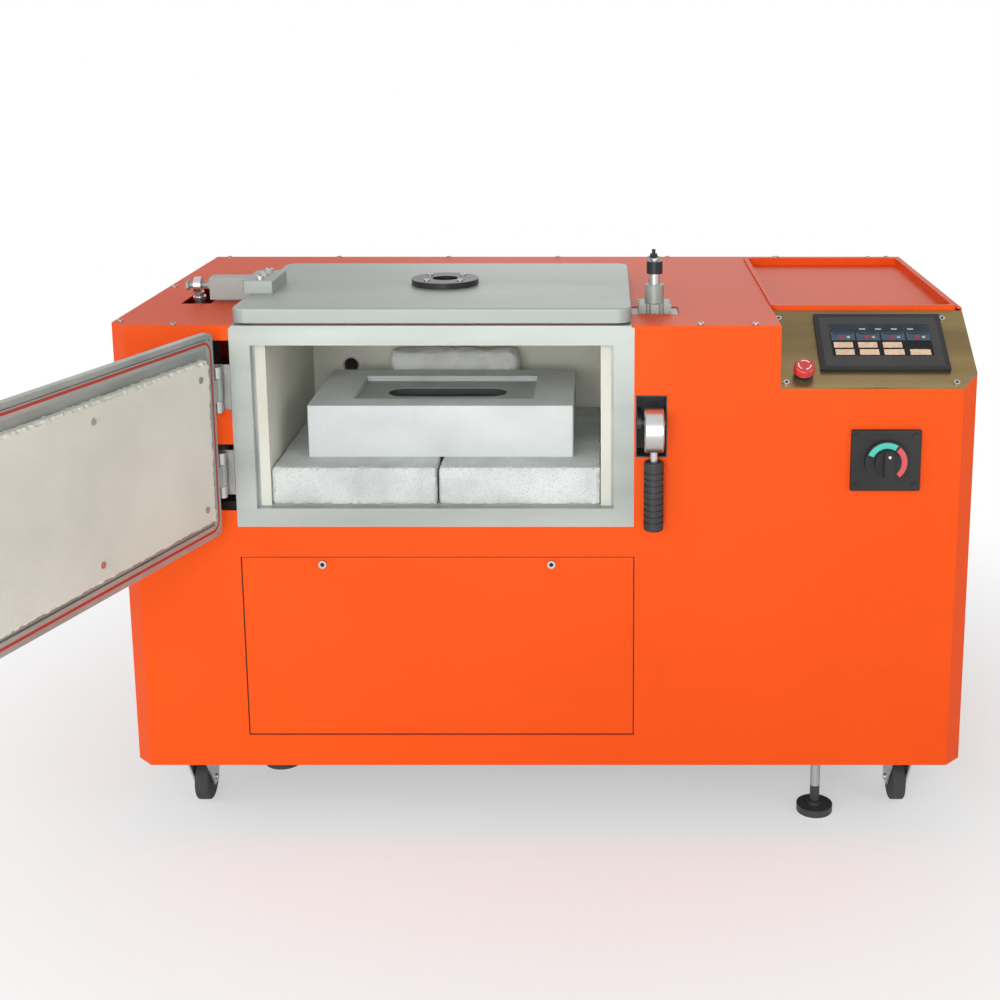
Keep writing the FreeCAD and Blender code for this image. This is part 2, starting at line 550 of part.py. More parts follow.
def brick(left, right):
    """One fire brick on the hearth, standing on its long side."""
    run = (f"{FRONT} + brick_setback", f"{FRONT} + brick_setback + brick_depth")
    block = box((left, right), run, (HEARTH, f"{HEARTH} + brick_height"))
    return rounded(block, "brick_edge", lambda edge: across(edge) or upright(edge))


name(group(
    brick(f"{LINED_LEFT} + brick_clearance", "brick_split - brick_gap / 2"),
    brick("brick_split + brick_gap / 2", f"{LINED_RIGHT} - brick_clearance"),
), "fire_bricks")

MOULD_BASE = f"({HEARTH} + brick_height)"
MOULD_FRONT = f"({FRONT} + mould_setback)"
MOULD_TOP = f"({MOULD_BASE} + mould_height)"
POCKET_FLOOR = f"({MOULD_TOP} - pocket_depth)"
mould_block = box(("mould_left", "mould_left + mould_width"),
                  (MOULD_FRONT, f"{MOULD_FRONT} + mould_depth"), (MOULD_BASE, MOULD_TOP))


def pocket(margin, base, top):
    """A box inside the mould box's walls, set in by a margin."""
    return box((f"mould_left + pocket_margin_x + {margin}",
                f"mould_left + mould_width - pocket_margin_x - {margin}"),
               (f"{MOULD_FRONT} + pocket_margin_y + {margin}",
                f"{MOULD_FRONT} + mould_depth - pocket_margin_y - {margin}"), (base, top))


name(cut(rounded(mould_block, "brick_edge", upright), pocket("0", POCKET_FLOOR, f"{MOULD_TOP} + 1")),
     "mould_box")
tray_block = pocket("tray_clearance", POCKET_FLOOR, f"{POCKET_FLOOR} + tray_height")
SLOT_X = "(mould_left + mould_width / 2)"
SLOT_Y = f"({MOULD_FRONT} + mould_depth / 2)"
SLOT_FLOOR = f"({POCKET_FLOOR} + tray_height - tray_slot_depth)"
slot_middle = box((f"{SLOT_X} - tray_slot_length / 2 + tray_slot_width / 2",
                   f"{SLOT_X} + tray_slot_length / 2 - tray_slot_width / 2"),
                  (f"{SLOT_Y} - tray_slot_width / 2", f"{SLOT_Y} + tray_slot_width / 2"),
                  (SLOT_FLOOR, f"{POCKET_FLOOR} + tray_height + 1"))
slot_ends = [
    bar("tray_slot_width / 2",
        (f"{SLOT_X} {way} (tray_slot_length - tray_slot_width) / 2", SLOT_Y, SLOT_FLOOR),
        "tray_slot_depth + 1")
    for way in "+-"
]
name(cut(tray_block, slot_middle, *slot_ends), "mould_tray")
wad_block = box(("wad_left", "wad_left + wad_width"), (f"{LINED_BACK} - wad_depth", LINED_BACK),
                (MOULD_BASE, f"{MOULD_BASE} + wad_height"))
name(rounded(wad_block, "wad_rounding", lambda edge: edge.CenterOfMass.z > size("mould_height") + 550),
     "fibre_wad")

# Seal below the lid


def seal_box(inset):
    return box((f"lid_left + {inset}", f"{LID_RIGHT} - ({inset})"),
               (f"{FRONT} + lid_setback + ({inset}) * 0.6", f"{FRONT} + {LID_BACK} - ({inset})"),
               ("seat_top", "seat_top + seal_height"))


name(cut(rounded(seal_box("seal_inset"), "lid_corner", upright),
         seal_box("seal_inset + seal_width")), "lid_seal")

# Lid with its sight glass, insulation and arm

LID_BASE = "(seat_top + seal_height + lid_gap)"
LID_TOP = f"({LID_BASE} + lid_thickness)"
SIGHT = ("sight_centre_x", f"{FRONT} + sight_setback")
lid_block = box(("lid_left", LID_RIGHT), (f"{FRONT} + lid_setback", f"{FRONT} + {LID_BACK}"),
                (LID_BASE, LID_TOP))
lid_round = rounded(lid_block, "lid_corner", upright)
doc.recompute()
lid_level = size("seat_top") + size("seal_height") + size("lid_gap") + size("lid_thickness")
lid_soft = rounded(lid_round, "lid_edge", at_height(lid_level))
LID_AXIS = (f"({FRONT} + lid_axis_setback)", "lid_axis_height")
knuckles = []
for side in ("left", "right"):
    start = f"lid_hinge_{side} - lid_knuckle_width / 2"
    end = f"lid_hinge_{side} + lid_knuckle_width / 2"
    knuckles.append(bar("lid_knuckle_radius", (start, *LID_AXIS), "lid_knuckle_width", "x"))
    knuckles.append(box((start, end), (f"{FRONT} + {LID_BACK} - lid_edge", LID_AXIS[0]),
                        ("lid_axis_height - lid_knuckle_radius", "lid_axis_height + lid_knuckle_radius")))
knuckle_bore = bar("lid_pin_radius + running_clearance", ("lid_left", *LID_AXIS), "lid_width", "x")
lid_hole = bar("sight_bore", (*SIGHT, f"{LID_BASE} - 1"), "lid_thickness + 2")
glass_seat = bar("glass_radius", (*SIGHT, f"{LID_TOP} - glass_thickness"), "glass_thickness + 1")
name(cut(join(lid_soft, *knuckles), knuckle_bore, lid_hole, glass_seat), "lid_plate")
name(bar("glass_radius", (*SIGHT, f"{LID_TOP} - glass_thickness"), "glass_thickness"), "sight_glass")
ring = bar("sight_radius", (*SIGHT, LID_TOP), "sight_height")
ring_hole = bar("sight_bore", (*SIGHT, f"{LID_TOP} - 1"), "sight_height + 2")
name(cut(ring, ring_hole), "sight_ring")
plug = box((f"{LINED_LEFT} + plug_clearance", f"{LINED_RIGHT} - plug_clearance"),
           (f"{FRONT} + seat_setback + plug_front_clearance", f"{LINED_BACK} - plug_clearance"),
           (f"{LID_BASE} - plug_height", LID_BASE))
plug_hole = bar("sight_bore", (*SIGHT, f"{LID_BASE} - plug_height - 1"), "plug_height + 2")
name(cut(plug, plug_hole), "lid_insulation")

BLOCK_RIGHT = "(block_left + block_width)"
BLOCK_TOP = f"({LID_TOP} + block_height)"
EYE = ("eye_centre_x", f"({FRONT} + eye_setback)", "eye_centre_z")
block = box(("block_left", BLOCK_RIGHT),
            (f"{FRONT} + block_setback", f"{FRONT} + block_setback + block_depth"), (LID_TOP, BLOCK_TOP))
arm = box(("arm_end", "block_left"), (f"{EYE[1]} - arm_depth / 2", f"{EYE[1]} + arm_depth / 2"),
          ("arm_bottom", "arm_bottom + arm_height"))
PIN_LENGTH = "(arm_end - lift_pin_end)"
lift_pin = bar("lift_pin_radius", ("lift_pin_end", EYE[1], EYE[2]), f"{PIN_LENGTH}", "x")
inner_nut = hexagon("nut_radius", ("arm_end - nut_width", EYE[1], EYE[2]), "nut_width", "x")
outer_nut = hexagon("nut_radius", ("lift_pin_end", EYE[1], EYE[2]), "nut_width", "x")
name(join(rounded(block, "brick_edge", upright), arm, lift_pin, inner_nut, outer_nut), "lid_arm")
ring_screws = [
    bar("screw_head_radius", (f"sight_centre_x {a} sight_screw_circle * 0.70711",
                              f"{FRONT} + sight_setback {b} sight_screw_circle * 0.70711",
                              f"{LID_TOP} + sight_height"), "screw_head_height")
    for a in "+-" for b in "+-"
]
block_screws = [
    bar("large_screw_radius", (f"block_left + block_width / 2",
                               f"{FRONT} + block_setback + block_depth / 2 + block_screw_pitch * {n}",
                               BLOCK_TOP), "large_screw_height")
    for n in (-1, 0, 1)
]
name(group(*ring_screws, *block_screws), "lid_screws")

# Fixed lid hinges on the cover

HINGE_REACH = "(lid_knuckle_width / 2 + lid_hinge_gap)"
hinge_pairs = []
for side in ("left", "right"):
    centre = f"lid_hinge_{side}"
    low = f"{centre} - {HINGE_REACH}"
    high = f"{centre} + {HINGE_REACH}"
    base = box((f"{low} - lid_lug_width", f"{high} + lid_lug_width"),
               (f"{FRONT} + {LID_BACK} + 3", f"{LID_AXIS[0]} + lid_base_depth"),
               ("cabinet_top + sheet_gauge", "lid_axis_height - lid_knuckle_radius - lid_hinge_gap"))
    lugs = []
    for start in (f"{low} - lid_lug_width", high):
        lugs.append(bar("lid_knuckle_radius", (start, *LID_AXIS), "lid_lug_width", "x"))
        lugs.append(box((start, f"{start} + lid_lug_width"),
                        (f"{LID_AXIS[0]} - lid_knuckle_radius", f"{LID_AXIS[0]} + lid_knuckle_radius"),
                        ("cabinet_top + sheet_gauge", "lid_axis_height")))
    pin = bar("lid_pin_radius", (f"{low} - lid_lug_width", *LID_AXIS),
              f"2 * {HINGE_REACH} + 2 * lid_lug_width", "x")
    hinge_pairs.append(join(base, *lugs, pin))
name(group(*hinge_pairs), "lid_hinges")

# Lift: rod, cylinder and the bracket at its foot

LEAN = "atan((foot_setback - eye_setback) / (eye_centre_z - foot_height))"


def on_lift(piece, x, height):
    """Turns a piece onto the cylinder's line, a height above the eye along it."""
    piece.Placement = Placement(Vector(), Rotation(Vector(1, 0, 0), 8))
    piece.setExpression("Placement.Rotation.Angle", bound(LEAN))
    return place(piece, x, f"{EYE[1]} - ({height}) * sin({LEAN})",
                 f"{EYE[2]} + ({height}) * cos({LEAN})")


def lift_bar(radius, base, top):
    piece = doc.addObject("Part::Cylinder", unique("lift_bar"))
    piece.setExpression("Radius", bound(radius))
    piece.setExpression("Height", bound(f"({top}) - ({base})"))
    return on_lift(piece, "eye_centre_x", base)


eye = bar("eye_radius", (f"eye_centre_x - eye_width / 2", EYE[1], EYE[2]), "eye_width", "x")
eye_bore = bar("lift_pin_radius + running_clearance", ("eye_centre_x - eye_width", EYE[1], EYE[2]),
               "2 * eye_width", "x")
PISTON_BASE = "(-barrel_bottom + cap_height + 1)"
lift_shaft = lift_bar("rod_radius", f"{PISTON_BASE}", "-eye_radius + 3")
lock_nut = lift_bar("nut_radius + 2", "-eye_radius - 2 * nut_width", "-eye_radius - nut_width")
piston = lift_bar("barrel_radius - barrel_wall - piston_clearance", PISTON_BASE,
                  f"{PISTON_BASE} + piston_height")
name(cut(join(eye, lift_shaft, lock_nut, piston), eye_bore), "lift_rod")
barrel = lift_bar("barrel_radius", "-barrel_bottom", "-barrel_top")
barrel_bore = lift_bar("barrel_radius - barrel_wall", "-barrel_bottom + cap_height",
                       "-barrel_top - cap_height")
gland = lift_bar("rod_radius + running_clearance", "-barrel_top - 2 * cap_height", "-barrel_top + 1")
FOOT = (f"({FRONT} + foot_setback)", "foot_height")
foot_eye = bar("foot_lug_width / 2", ("eye_centre_x - foot_lug_width / 2", *FOOT), "foot_lug_width", "x")
FOOT_REACH = "(foot_lug_width / 2 + foot_gap + bracket_gauge)"
foot_pin = bar("foot_pin_radius", (f"eye_centre_x - {FOOT_REACH}", *FOOT), f"2 * {FOOT_REACH}", "x")
LIFT_LENGTH = "sqrt((foot_setback - eye_setback) ^ 2 + (eye_centre_z - foot_height) ^ 2)"
foot_stem = lift_bar("foot_lug_width / 2 - 1", f"-{LIFT_LENGTH}", "-barrel_bottom + 1")
name(join(cut(barrel, barrel_bore, gland), foot_eye, foot_pin, foot_stem), "lift_cylinder")
BRACKET_BASE = "(foot_height - foot_drop)"
cheeks = []
for way in "+-":
    inner = f"eye_centre_x {way} (foot_lug_width / 2 + foot_gap)"
    outer = f"eye_centre_x {way} {FOOT_REACH}"
    ends = (inner, outer) if way == "+" else (outer, inner)
    plate = box(ends, (f"{FOOT[0]} - bracket_reach", f"{FOOT[0]} + bracket_reach"),
                (BRACKET_BASE, "foot_height + cheek_rise"))
    cheeks.append(plate)
window = box((f"eye_centre_x - 2 * {FOOT_REACH}", f"eye_centre_x + 2 * {FOOT_REACH}"),
             (f"{FOOT[0]} - foot_window_half", f"{FOOT[0]} + foot_window_half"),
             (f"{BRACKET_BASE} + bracket_base_gauge", "foot_height + cheek_rise + 1"))
bracket_base = box((f"-{SIDE} + sheet_gauge", f"eye_centre_x + {FOOT_REACH}"),
                   (f"{FOOT[0]} - bracket_reach", f"{FOOT[0]} + bracket_reach"),
                   (BRACKET_BASE, f"{BRACKET_BASE} + bracket_base_gauge"))
name(join(cut(join(*cheeks), window), bracket_base), "lift_bracket")

# Swing clamp beside the lid, its arm swung clear of the lid

CLAMP = ("clamp_centre_x", f"({FRONT} + clamp_setback)")
clamp_block = box((f"{CLAMP[0]} - clamp_width / 2", f"{CLAMP[0]} + clamp_width / 2"),
                  (f"{CLAMP[1]} - clamp_width / 2", f"{CLAMP[1]} + clamp_width / 2"),
                  ("clamp_top - clamp_body_depth", "clamp_top"))
grooves = [
    bar("clamp_groove_radius", (f"{CLAMP[0]} {a} {p} * clamp_width", f"{CLAMP[1]} {b} {q} * clamp_width",
                                "clamp_top - clamp_body_depth - 1"), "clamp_body_depth + 2")
    for a in "+-" for b in "+-" for p, q in ((0.5, 0.2), (0.2, 0.5))
]
clamp_tube = bar("clamp_tube_radius", (*CLAMP, "clamp_top - 1"), "clamp_tube_top - clamp_top + 1")
clamp_flange = box((f"{CLAMP[0]} - clamp_slot_width / 2", f"{CLAMP[0]} + clamp_slot_width / 2"),
                   (f"{CLAMP[1]} - clamp_slot_depth / 2 - clamp_lap",
                    f"{CLAMP[1]} + clamp_slot_depth / 2 + clamp_lap"),
                   ("cabinet_top - clamp_flange_gauge", "cabinet_top"))
clamp_bore = bar("clamp_rod_radius + running_clearance",
                 (*CLAMP, "clamp_top - clamp_body_depth + 10"), "clamp_body_depth + clamp_top")
name(cut(join(cut(clamp_block, *grooves), clamp_flange, clamp_tube), clamp_bore), "clamp_body")
ARM_BASE = "(clamp_arm_low + clamp_lift)"
ARM_TOP = f"({ARM_BASE} + clamp_arm_height)"
PIVOT_TOP = f"({ARM_TOP} + 4)"
COLLAR_TOP = f"({ARM_BASE} - knob_gap)"
ROD_BASE = "(clamp_top - clamp_body_depth + 14 + clamp_lift)"
rod_body = bar("clamp_rod_radius", (*CLAMP, ROD_BASE), f"{COLLAR_TOP} - {ROD_BASE}")
rod_pivot = bar("clamp_pivot_radius", (*CLAMP, f"{COLLAR_TOP} - 1"), f"{PIVOT_TOP} - {COLLAR_TOP}")
name(join(rod_body, rod_pivot), "clamp_rod")
arm_hub = bar("clamp_arm_width / 2 + 3", (*CLAMP, ARM_BASE), "clamp_arm_height")
arm_tip = bar("clamp_arm_width / 2", (CLAMP[0], f"{CLAMP[1]} + clamp_arm_length", ARM_BASE),
              "clamp_arm_height")
arm_beam = box((f"{CLAMP[0]} - clamp_arm_width / 2", f"{CLAMP[0]} + clamp_arm_width / 2"),
               (CLAMP[1], f"{CLAMP[1]} + clamp_arm_length"), (ARM_BASE, ARM_TOP))
arm_bore = bar("clamp_pivot_radius + running_clearance", (*CLAMP, f"{ARM_BASE} - 1"),
               "clamp_arm_height + 2")
TIP = (CLAMP[0], f"({CLAMP[1]} + clamp_arm_length)")
clamp_bolt = bar("clamp_bolt_radius", (*TIP, "clamp_pad_height + clamp_lift + 4"),
                 f"{ARM_TOP} + 12 - clamp_pad_height - clamp_lift - 4")
clamp_pad = bar("clamp_pad_radius", (*TIP, "clamp_pad_height + clamp_lift"), "4.5")
clamp_nuts = [hexagon("clamp_bolt_radius * 2", (*TIP, level), "clamp_bolt_radius * 1.6")
              for level in (ARM_TOP, f"{ARM_BASE} - clamp_bolt_radius * 1.6")]
name(join(cut(join(arm_hub, arm_tip, arm_beam), arm_bore), clamp_bolt, clamp_pad, *clamp_nuts),
     "clamp_arm")

# Door, drawn shut about its hinge axis and turned open

HINGE_Y = f"({FRONT} - door_axis_proud)"


def on_door(piece):
    """Turns a piece drawn on the shut door to where the open door holds it."""
    piece.Placement = Placement(Vector(), Rotation(Vector(0, 0, -1), 100))
    piece.setExpression("Placement.Rotation.Angle", bound("door_open"))
    return place(piece, "door_axis_x", HINGE_Y, "0")


DOOR_INNER = "(door_thickness - door_front)"
DOOR_RIGHT = "(door_offset + door_width)"
DOOR_TOP = "(door_base + door_height)"


def door_layer(inset_x, inset_z, near, far):
    """A box in front of the shut door's inner face, set in from its edges."""
    return box((f"door_offset + {inset_x}", f"{DOOR_RIGHT} - ({inset_x})"), (near, far),
               (f"door_base + {inset_z}", f"{DOOR_TOP} - ({inset_z})"))


plate = rounded(door_layer("0", "0", "-door_front", DOOR_INNER), "door_corner", across)
groove = cut(door_layer("groove_inset", "groove_inset", f"{DOOR_INNER} - groove_depth",
                        f"{DOOR_INNER} + 1"),
             door_layer("groove_inset + groove_width", "groove_inset + groove_width",
                        f"{DOOR_INNER} - groove_depth - 1", f"{DOOR_INNER} + 2"))
door_knuckles = []
for level in ("upper", "lower"):
    base = f"({level}_hinge_base + hinge_knuckle + hinge_gap)"
    rise = "hinge_height - 2 * hinge_knuckle - 2 * hinge_gap"
    door_knuckles.append(bar("door_knuckle_radius", ("0", "0", base), rise))
    door_knuckles.append(box(("0", "door_offset + 1"), ("-door_front", "hinge_leaf"),
                             (base, f"{base} + {rise}")))
door_bore = bar("door_pin_radius + running_clearance", ("0", "0", "door_base"), "door_height")
name(on_door(cut(join(plate, *door_knuckles), groove, door_bore)), "door_plate")
seal_near = f"{DOOR_INNER} - groove_depth"
seal_far = f"{DOOR_INNER} + door_seal_proud"
name(on_door(cut(rounded(door_layer("groove_inset + 1", "groove_inset + 1", seal_near, seal_far),
                         "seal_inset", across),
                 door_layer("groove_inset + 1 + door_seal_width", "groove_inset + 1 + door_seal_width",
                            f"{seal_near} - 1", f"{seal_far} + 1"))), "door_seal")
PAD_FACE = f"({DOOR_INNER} + pad_thickness)"
pad = rounded(door_layer("pad_inset_x", "pad_inset_z", DOOR_INNER, PAD_FACE), "pad_corner", across)
doc.recompute()
pad_level = size("door_thickness") - size("door_front") + size("pad_thickness")
soft_pad = rounded(pad, "pad_edge", lambda edge: abs(edge.BoundBox.YMin - pad_level) < 0.01)
name(on_door(soft_pad), "door_pad")
door_screws = [
    bar("door_screw_radius", (x, PAD_FACE, z), "door_screw_height", "y")
    for x in ("door_offset + pad_inset_x + pad_screw_inset", "door_offset + door_width / 2",
              f"{DOOR_RIGHT} - pad_inset_x - pad_screw_inset")
    for z in ("door_base + pad_inset_z + pad_screw_inset", f"{DOOR_TOP} - pad_inset_z - pad_screw_inset")
]
name(on_door(group(*door_screws)), "door_screws")
fixed_hinges = []
for level in ("upper", "lower"):
    bottom = f"{level}_hinge_base"
    knuckle_levels = (bottom, f"({level}_hinge_base + hinge_height - hinge_knuckle)")
    leaves = [bar("door_pin_radius", ("door_axis_x", HINGE_Y, bottom), "hinge_height")]
    for base in knuckle_levels:
        leaves.append(bar("door_knuckle_radius", ("door_axis_x", HINGE_Y, base), "hinge_knuckle"))
        leaves.append(box(("door_axis_x - 2 * hinge_leaf", "door_axis_x"),
                          (f"{HINGE_Y} - hinge_leaf / 2", f"{FRONT} + 3 * sheet_gauge"),
                          (base, f"{base} + hinge_knuckle")))
    leaves.append(box(("hinge_slot_left - hinge_leaf", "hinge_slot_left + hinge_slot_width - 1"),
                      (f"{FRONT} + sheet_gauge", f"{FRONT} + 3 * sheet_gauge"),
                      (bottom, f"{bottom} + hinge_height")))
    fixed_hinges.append(join(*leaves))
name(group(*fixed_hinges), "door_hinges")

# Latch beside the chamber

LATCH_RIGHT = "(latch_left + latch_width)"
LATCH_AXIS_Y = f"({FRONT} - latch_axle_proud)"
CAM_Z = "(latch_base + cam_centre_rise)"
LATCH_AXIS_Z = f"({CAM_Z} + latch_axle_rise)"
latch_block = box(("latch_left", LATCH_RIGHT), (FRONT, f"{FRONT} + latch_depth"),
                  ("latch_base", "latch_base + latch_height"))
latch_hollow = box(("latch_left + sheet_gauge", f"{LATCH_RIGHT} - sheet_gauge"),
                   (f"{FRONT} - 1", f"{FRONT} + latch_depth - sheet_gauge"),
                   ("latch_base + sheet_gauge", "latch_base + latch_height - sheet_gauge"))
latch_lugs = []
for start in ("latch_left + sheet_gauge", f"{LATCH_RIGHT} - sheet_gauge - 2"):
    reach = "latch_lug" if start.startswith("latch_left") else "2"
    ends = (start, f"{start} + {reach}")
    latch_lugs.append(box(ends, (LATCH_AXIS_Y, f"{FRONT} + latch_depth - sheet_gauge"),
                          (f"{LATCH_AXIS_Z} - 2 * latch_axle_radius",
                           f"{LATCH_AXIS_Z} + 2 * latch_axle_radius")))
    latch_lugs.append(bar("2 * latch_axle_radius", (start, LATCH_AXIS_Y, LATCH_AXIS_Z), reach, "x"))
latch_axle = bar("latch_axle_radius", ("latch_left + sheet_gauge", LATCH_AXIS_Y, LATCH_AXIS_Z),
                 "latch_width - 2 * sheet_gauge", "x")
name(join(cut(latch_block, latch_hollow), *latch_lugs, latch_axle), "latch_bracket")
CAM_Y = f"({FRONT} - cam_centre_proud)"
CAM_X = "(cam_left + cam_width / 2)"
GRIP_Y = f"({FRONT} - grip_proud)"
drum = bar("cam_radius", ("cam_left", CAM_Y, CAM_Z), "cam_width", "x")
soft_drum = rounded(drum, "sheet_gauge", lambda edge: len(edge.Vertexes) == 1, chamfer=True)
NECK_BASE = f"({CAM_Z} - cam_radius + 4 - neck_length)"
neck = bar("neck_radius", (CAM_X, GRIP_Y, NECK_BASE), "neck_length")
cam_bore = bar("latch_axle_radius + running_clearance", ("cam_left - 1", LATCH_AXIS_Y, LATCH_AXIS_Z),
               "cam_width + 2", "x")
name(cut(join(soft_drum, neck), cam_bore), "latch_cam")
GRIP_BASE = f"({NECK_BASE} - grip_length)"
grip = bar("grip_radius", (CAM_X, GRIP_Y, GRIP_BASE), "grip_length")
soft_grip = rounded(grip, "stop_head_edge", lambda edge: len(edge.Vertexes) == 1)
rings = []
for n in range(1, 10):
    level = f"{GRIP_BASE} + {n} * grip_rib_pitch + 4"
    outer = bar("grip_radius + 1", (CAM_X, GRIP_Y, level), "2 * grip_rib_depth")
    inner = bar("grip_radius - grip_rib_depth", (CAM_X, GRIP_Y, f"{level} - 1"), "2 * grip_rib_depth + 2")
    rings.append(cut(outer, inner))
name(cut(soft_grip, *rings), "latch_grip")

# Casters and levelling feet

FORK_HALF = "(wheel_width / 2 + fork_gap)"


def caster(label, x, y, swivels):
    """One caster: its plate, fork, wheel and, where it swivels, its brake pedal."""
    axle_y = f"({y} + caster_trail)"
    plate_top = ("cabinet_bottom - caster_plate_gauge", "cabinet_bottom")
    plate = box((f"{x} - caster_plate_length / 2", f"{x} + caster_plate_length / 2"),
                (f"{y} - caster_plate_width / 2", f"{y} + caster_plate_width / 2"), plate_top)
    crown = bar("race_radius", (x, y, "fork_top"),
                "cabinet_bottom - caster_plate_gauge - fork_top - race_gap")
    kingpin = bar("kingpin_radius", (x, y, "fork_top"), "cabinet_bottom - fork_top")
    arms = []
    for start in (f"{x} + {FORK_HALF}", f"{x} - {FORK_HALF} - fork_gauge"):
        arms.append(prism("YZ_Plane", [
            (f"{y} - race_radius", "fork_top + 1"), (f"{y} - race_radius", "fork_top - 12"),
            (f"{axle_y} - 2 * axle_radius", "wheel_radius - 2 * axle_radius"),
            (f"{axle_y} + 2 * axle_radius", "wheel_radius - 2 * axle_radius"),
            (f"{axle_y} + pedal_start + 10", "pedal_height - 10"),
            (f"{axle_y} + pedal_start + 10", "fork_top + 1"),
        ], start, "fork_gauge"))
    bridge = box((f"{x} - {FORK_HALF} - fork_gauge", f"{x} + {FORK_HALF} + fork_gauge"),
                 (f"{y} - race_radius", f"{axle_y} + 4"), ("fork_top - 3", "fork_top + 1"))
    axle = bar("axle_radius", (f"{x} - {FORK_HALF} - 2 * fork_gauge", axle_y, "wheel_radius"),
               f"2 * {FORK_HALF} + 4 * fork_gauge", "x")
    fork = [*arms, bridge, axle, crown]
    if swivels:
        hole = bar("kingpin_radius + running_clearance", (x, y, "cabinet_bottom - caster_plate_gauge - 1"),
                   "caster_plate_gauge + 2")
        mounts.append(cut(plate, hole))
        pedal_y = f"({axle_y} + pedal_start)"
        pin = bar("pedal_pin_radius", (f"{x} - {FORK_HALF} - 1", pedal_y, "pedal_height"),
                  f"2 * {FORK_HALF} + 2", "x")
        name(join(*fork, kingpin, pin), f"caster_fork_{label}")
        half = f"({FORK_HALF} - 1)"
        lever = box((f"{x} - {half}", f"{x} + {half}"), (pedal_y, f"{pedal_y} + pedal_length"),
                    ("pedal_height - pedal_gauge / 2", "pedal_height + pedal_gauge / 2"))
        sleeve = bar("pedal_pin_radius + 3", (f"{x} - {half}", pedal_y, "pedal_height"), f"2 * {half}", "x")
        pedal_bore = bar("pedal_pin_radius + running_clearance", (f"{x} - {half} - 1", pedal_y,
                                                                   "pedal_height"), f"2 * {half} + 2", "x")
        name(cut(join(lever, sleeve), pedal_bore), f"brake_pedal_{label}")
    else:
        spacer = bar("race_radius", (x, y, "fork_top"), "cabinet_bottom - caster_plate_gauge - fork_top")
        mounts.append(join(*fork, spacer, plate))
    tyre = bar("wheel_radius", (f"{x} - wheel_width / 2", axle_y, "wheel_radius"), "wheel_width", "x")
    soft_tyre = rounded(tyre, "wheel_round", lambda edge: len(edge.Vertexes) == 1)
    wheel_bore = bar("axle_radius + running_clearance", (f"{x} - wheel_width", axle_y, "wheel_radius"),
                     "2 * wheel_width", "x")
    name(cut(soft_tyre, wheel_bore), f"wheel_{label}")


mounts = []
caster("front_left", "-caster_x", "-caster_y", True)
caster("front_right", "caster_x", "-caster_y", True)
caster("rear_left", "-caster_x", "caster_y", False)
caster("rear_right", "caster_x", "caster_y", False)
name(group(*mounts), "caster_mounts")

FOOT_Y = "(cabinet_depth / 2 - foot_inset)"
for label, x, y, raised in (("front_left", "-foot_x", f"-{FOOT_Y}", "foot_raised"),
                            ("front_right", "foot_x", f"-{FOOT_Y}", "0"),
                            ("rear_left", "-foot_x", FOOT_Y, "0"),
                            ("rear_right", "foot_x", FOOT_Y, "0")):
    pad_disc = bar("levelling_pad_radius", (x, y, raised), "levelling_pad_height")
    stud = bar("stud_radius", (x, y, f"levelling_pad_height + {raised} - 1"),
               "stud_top - levelling_pad_height + 1")
    cone = bar("foot_nut_radius", (x, y, f"levelling_pad_height + {raised} - 1"), "foot_nut_height")
    name(join(pad_disc, stud, cone), f"levelling_foot_{label}")

# Base frame of welded tube

TUBE_TOP = "(cabinet_bottom + frame_tube)"
INSIDE = f"({SIDE} - sheet_gauge)"
RAIL_Y = f"(cabinet_depth / 2 - foot_inset)"
frame = []
for way in "+-":
    frame.append(box((f"-{INSIDE}", INSIDE), (f"{way}{RAIL_Y} - frame_tube / 2",
                                              f"{way}{RAIL_Y} + frame_tube / 2"),
                     ("cabinet_bottom", TUBE_TOP)))
    ends = (f"{way}{INSIDE} - frame_tube" if way == "+" else f"-{INSIDE}",
            INSIDE if way == "+" else f"-{INSIDE} + frame_tube")
    frame.append(box(ends, (f"-{RAIL_Y}", RAIL_Y), ("cabinet_bottom", TUBE_TOP)))
    caster_pad = (f"{way}caster_x - caster_plate_length / 2", f"{way}caster_x + caster_plate_length / 2")
    frame.append(box(caster_pad, (f"-{RAIL_Y}", RAIL_Y), ("cabinet_bottom", "cabinet_bottom + sheet_gauge * 3")))
    for turn in "+-":
        post_x = (f"{INSIDE} - post_tube", INSIDE) if way == "+" else (f"-{INSIDE}", f"-{INSIDE} + post_tube")
        frame.append(box(post_x, (f"{turn}{RAIL_Y} - post_tube / 2", f"{turn}{RAIL_Y} + post_tube / 2"),
                         (f"{TUBE_TOP} - 1", "console_low - console_rise")))
    rail_x = (f"{INSIDE} - post_tube", INSIDE) if way == "+" else (f"-{INSIDE}", f"-{INSIDE} + post_tube")
    frame.append(box(rail_x, (f"-{RAIL_Y}", RAIL_Y), (f"{BRACKET_BASE} - post_tube", BRACKET_BASE)))
SHELL_BASE = f"({SILL} - hearth_rise - shell_gauge)"
for setback in ("post_tube * 2", "shell_depth * 0.75"):
    frame.append(box((f"-{INSIDE}", INSIDE), (f"{FRONT} + {setback}", f"{FRONT} + {setback} + chamber_rail"),
                     (f"{SHELL_BASE} - chamber_rail", SHELL_BASE)))
for way in "+-":
    post_x = (f"{INSIDE} - post_tube", INSIDE) if way == "+" else (f"-{INSIDE}", f"-{INSIDE} + post_tube")
    frame.append(box(post_x, (f"-{RAIL_Y}", RAIL_Y), (f"{SHELL_BASE} - chamber_rail", SHELL_BASE)))
    frame.append(box((f"{way}box_width - frame_tube / 2", f"{way}box_width + frame_tube / 2"),
                     (f"-{RAIL_Y}", RAIL_Y), ("cabinet_bottom", TUBE_TOP)))
stud_holes = [
    bar("stud_radius + stud_clearance", (f"{a}foot_x", f"{b}{RAIL_Y}", "cabinet_bottom - 1"),
        "frame_tube + 2")
    for a in "+-" for b in "+-"
]
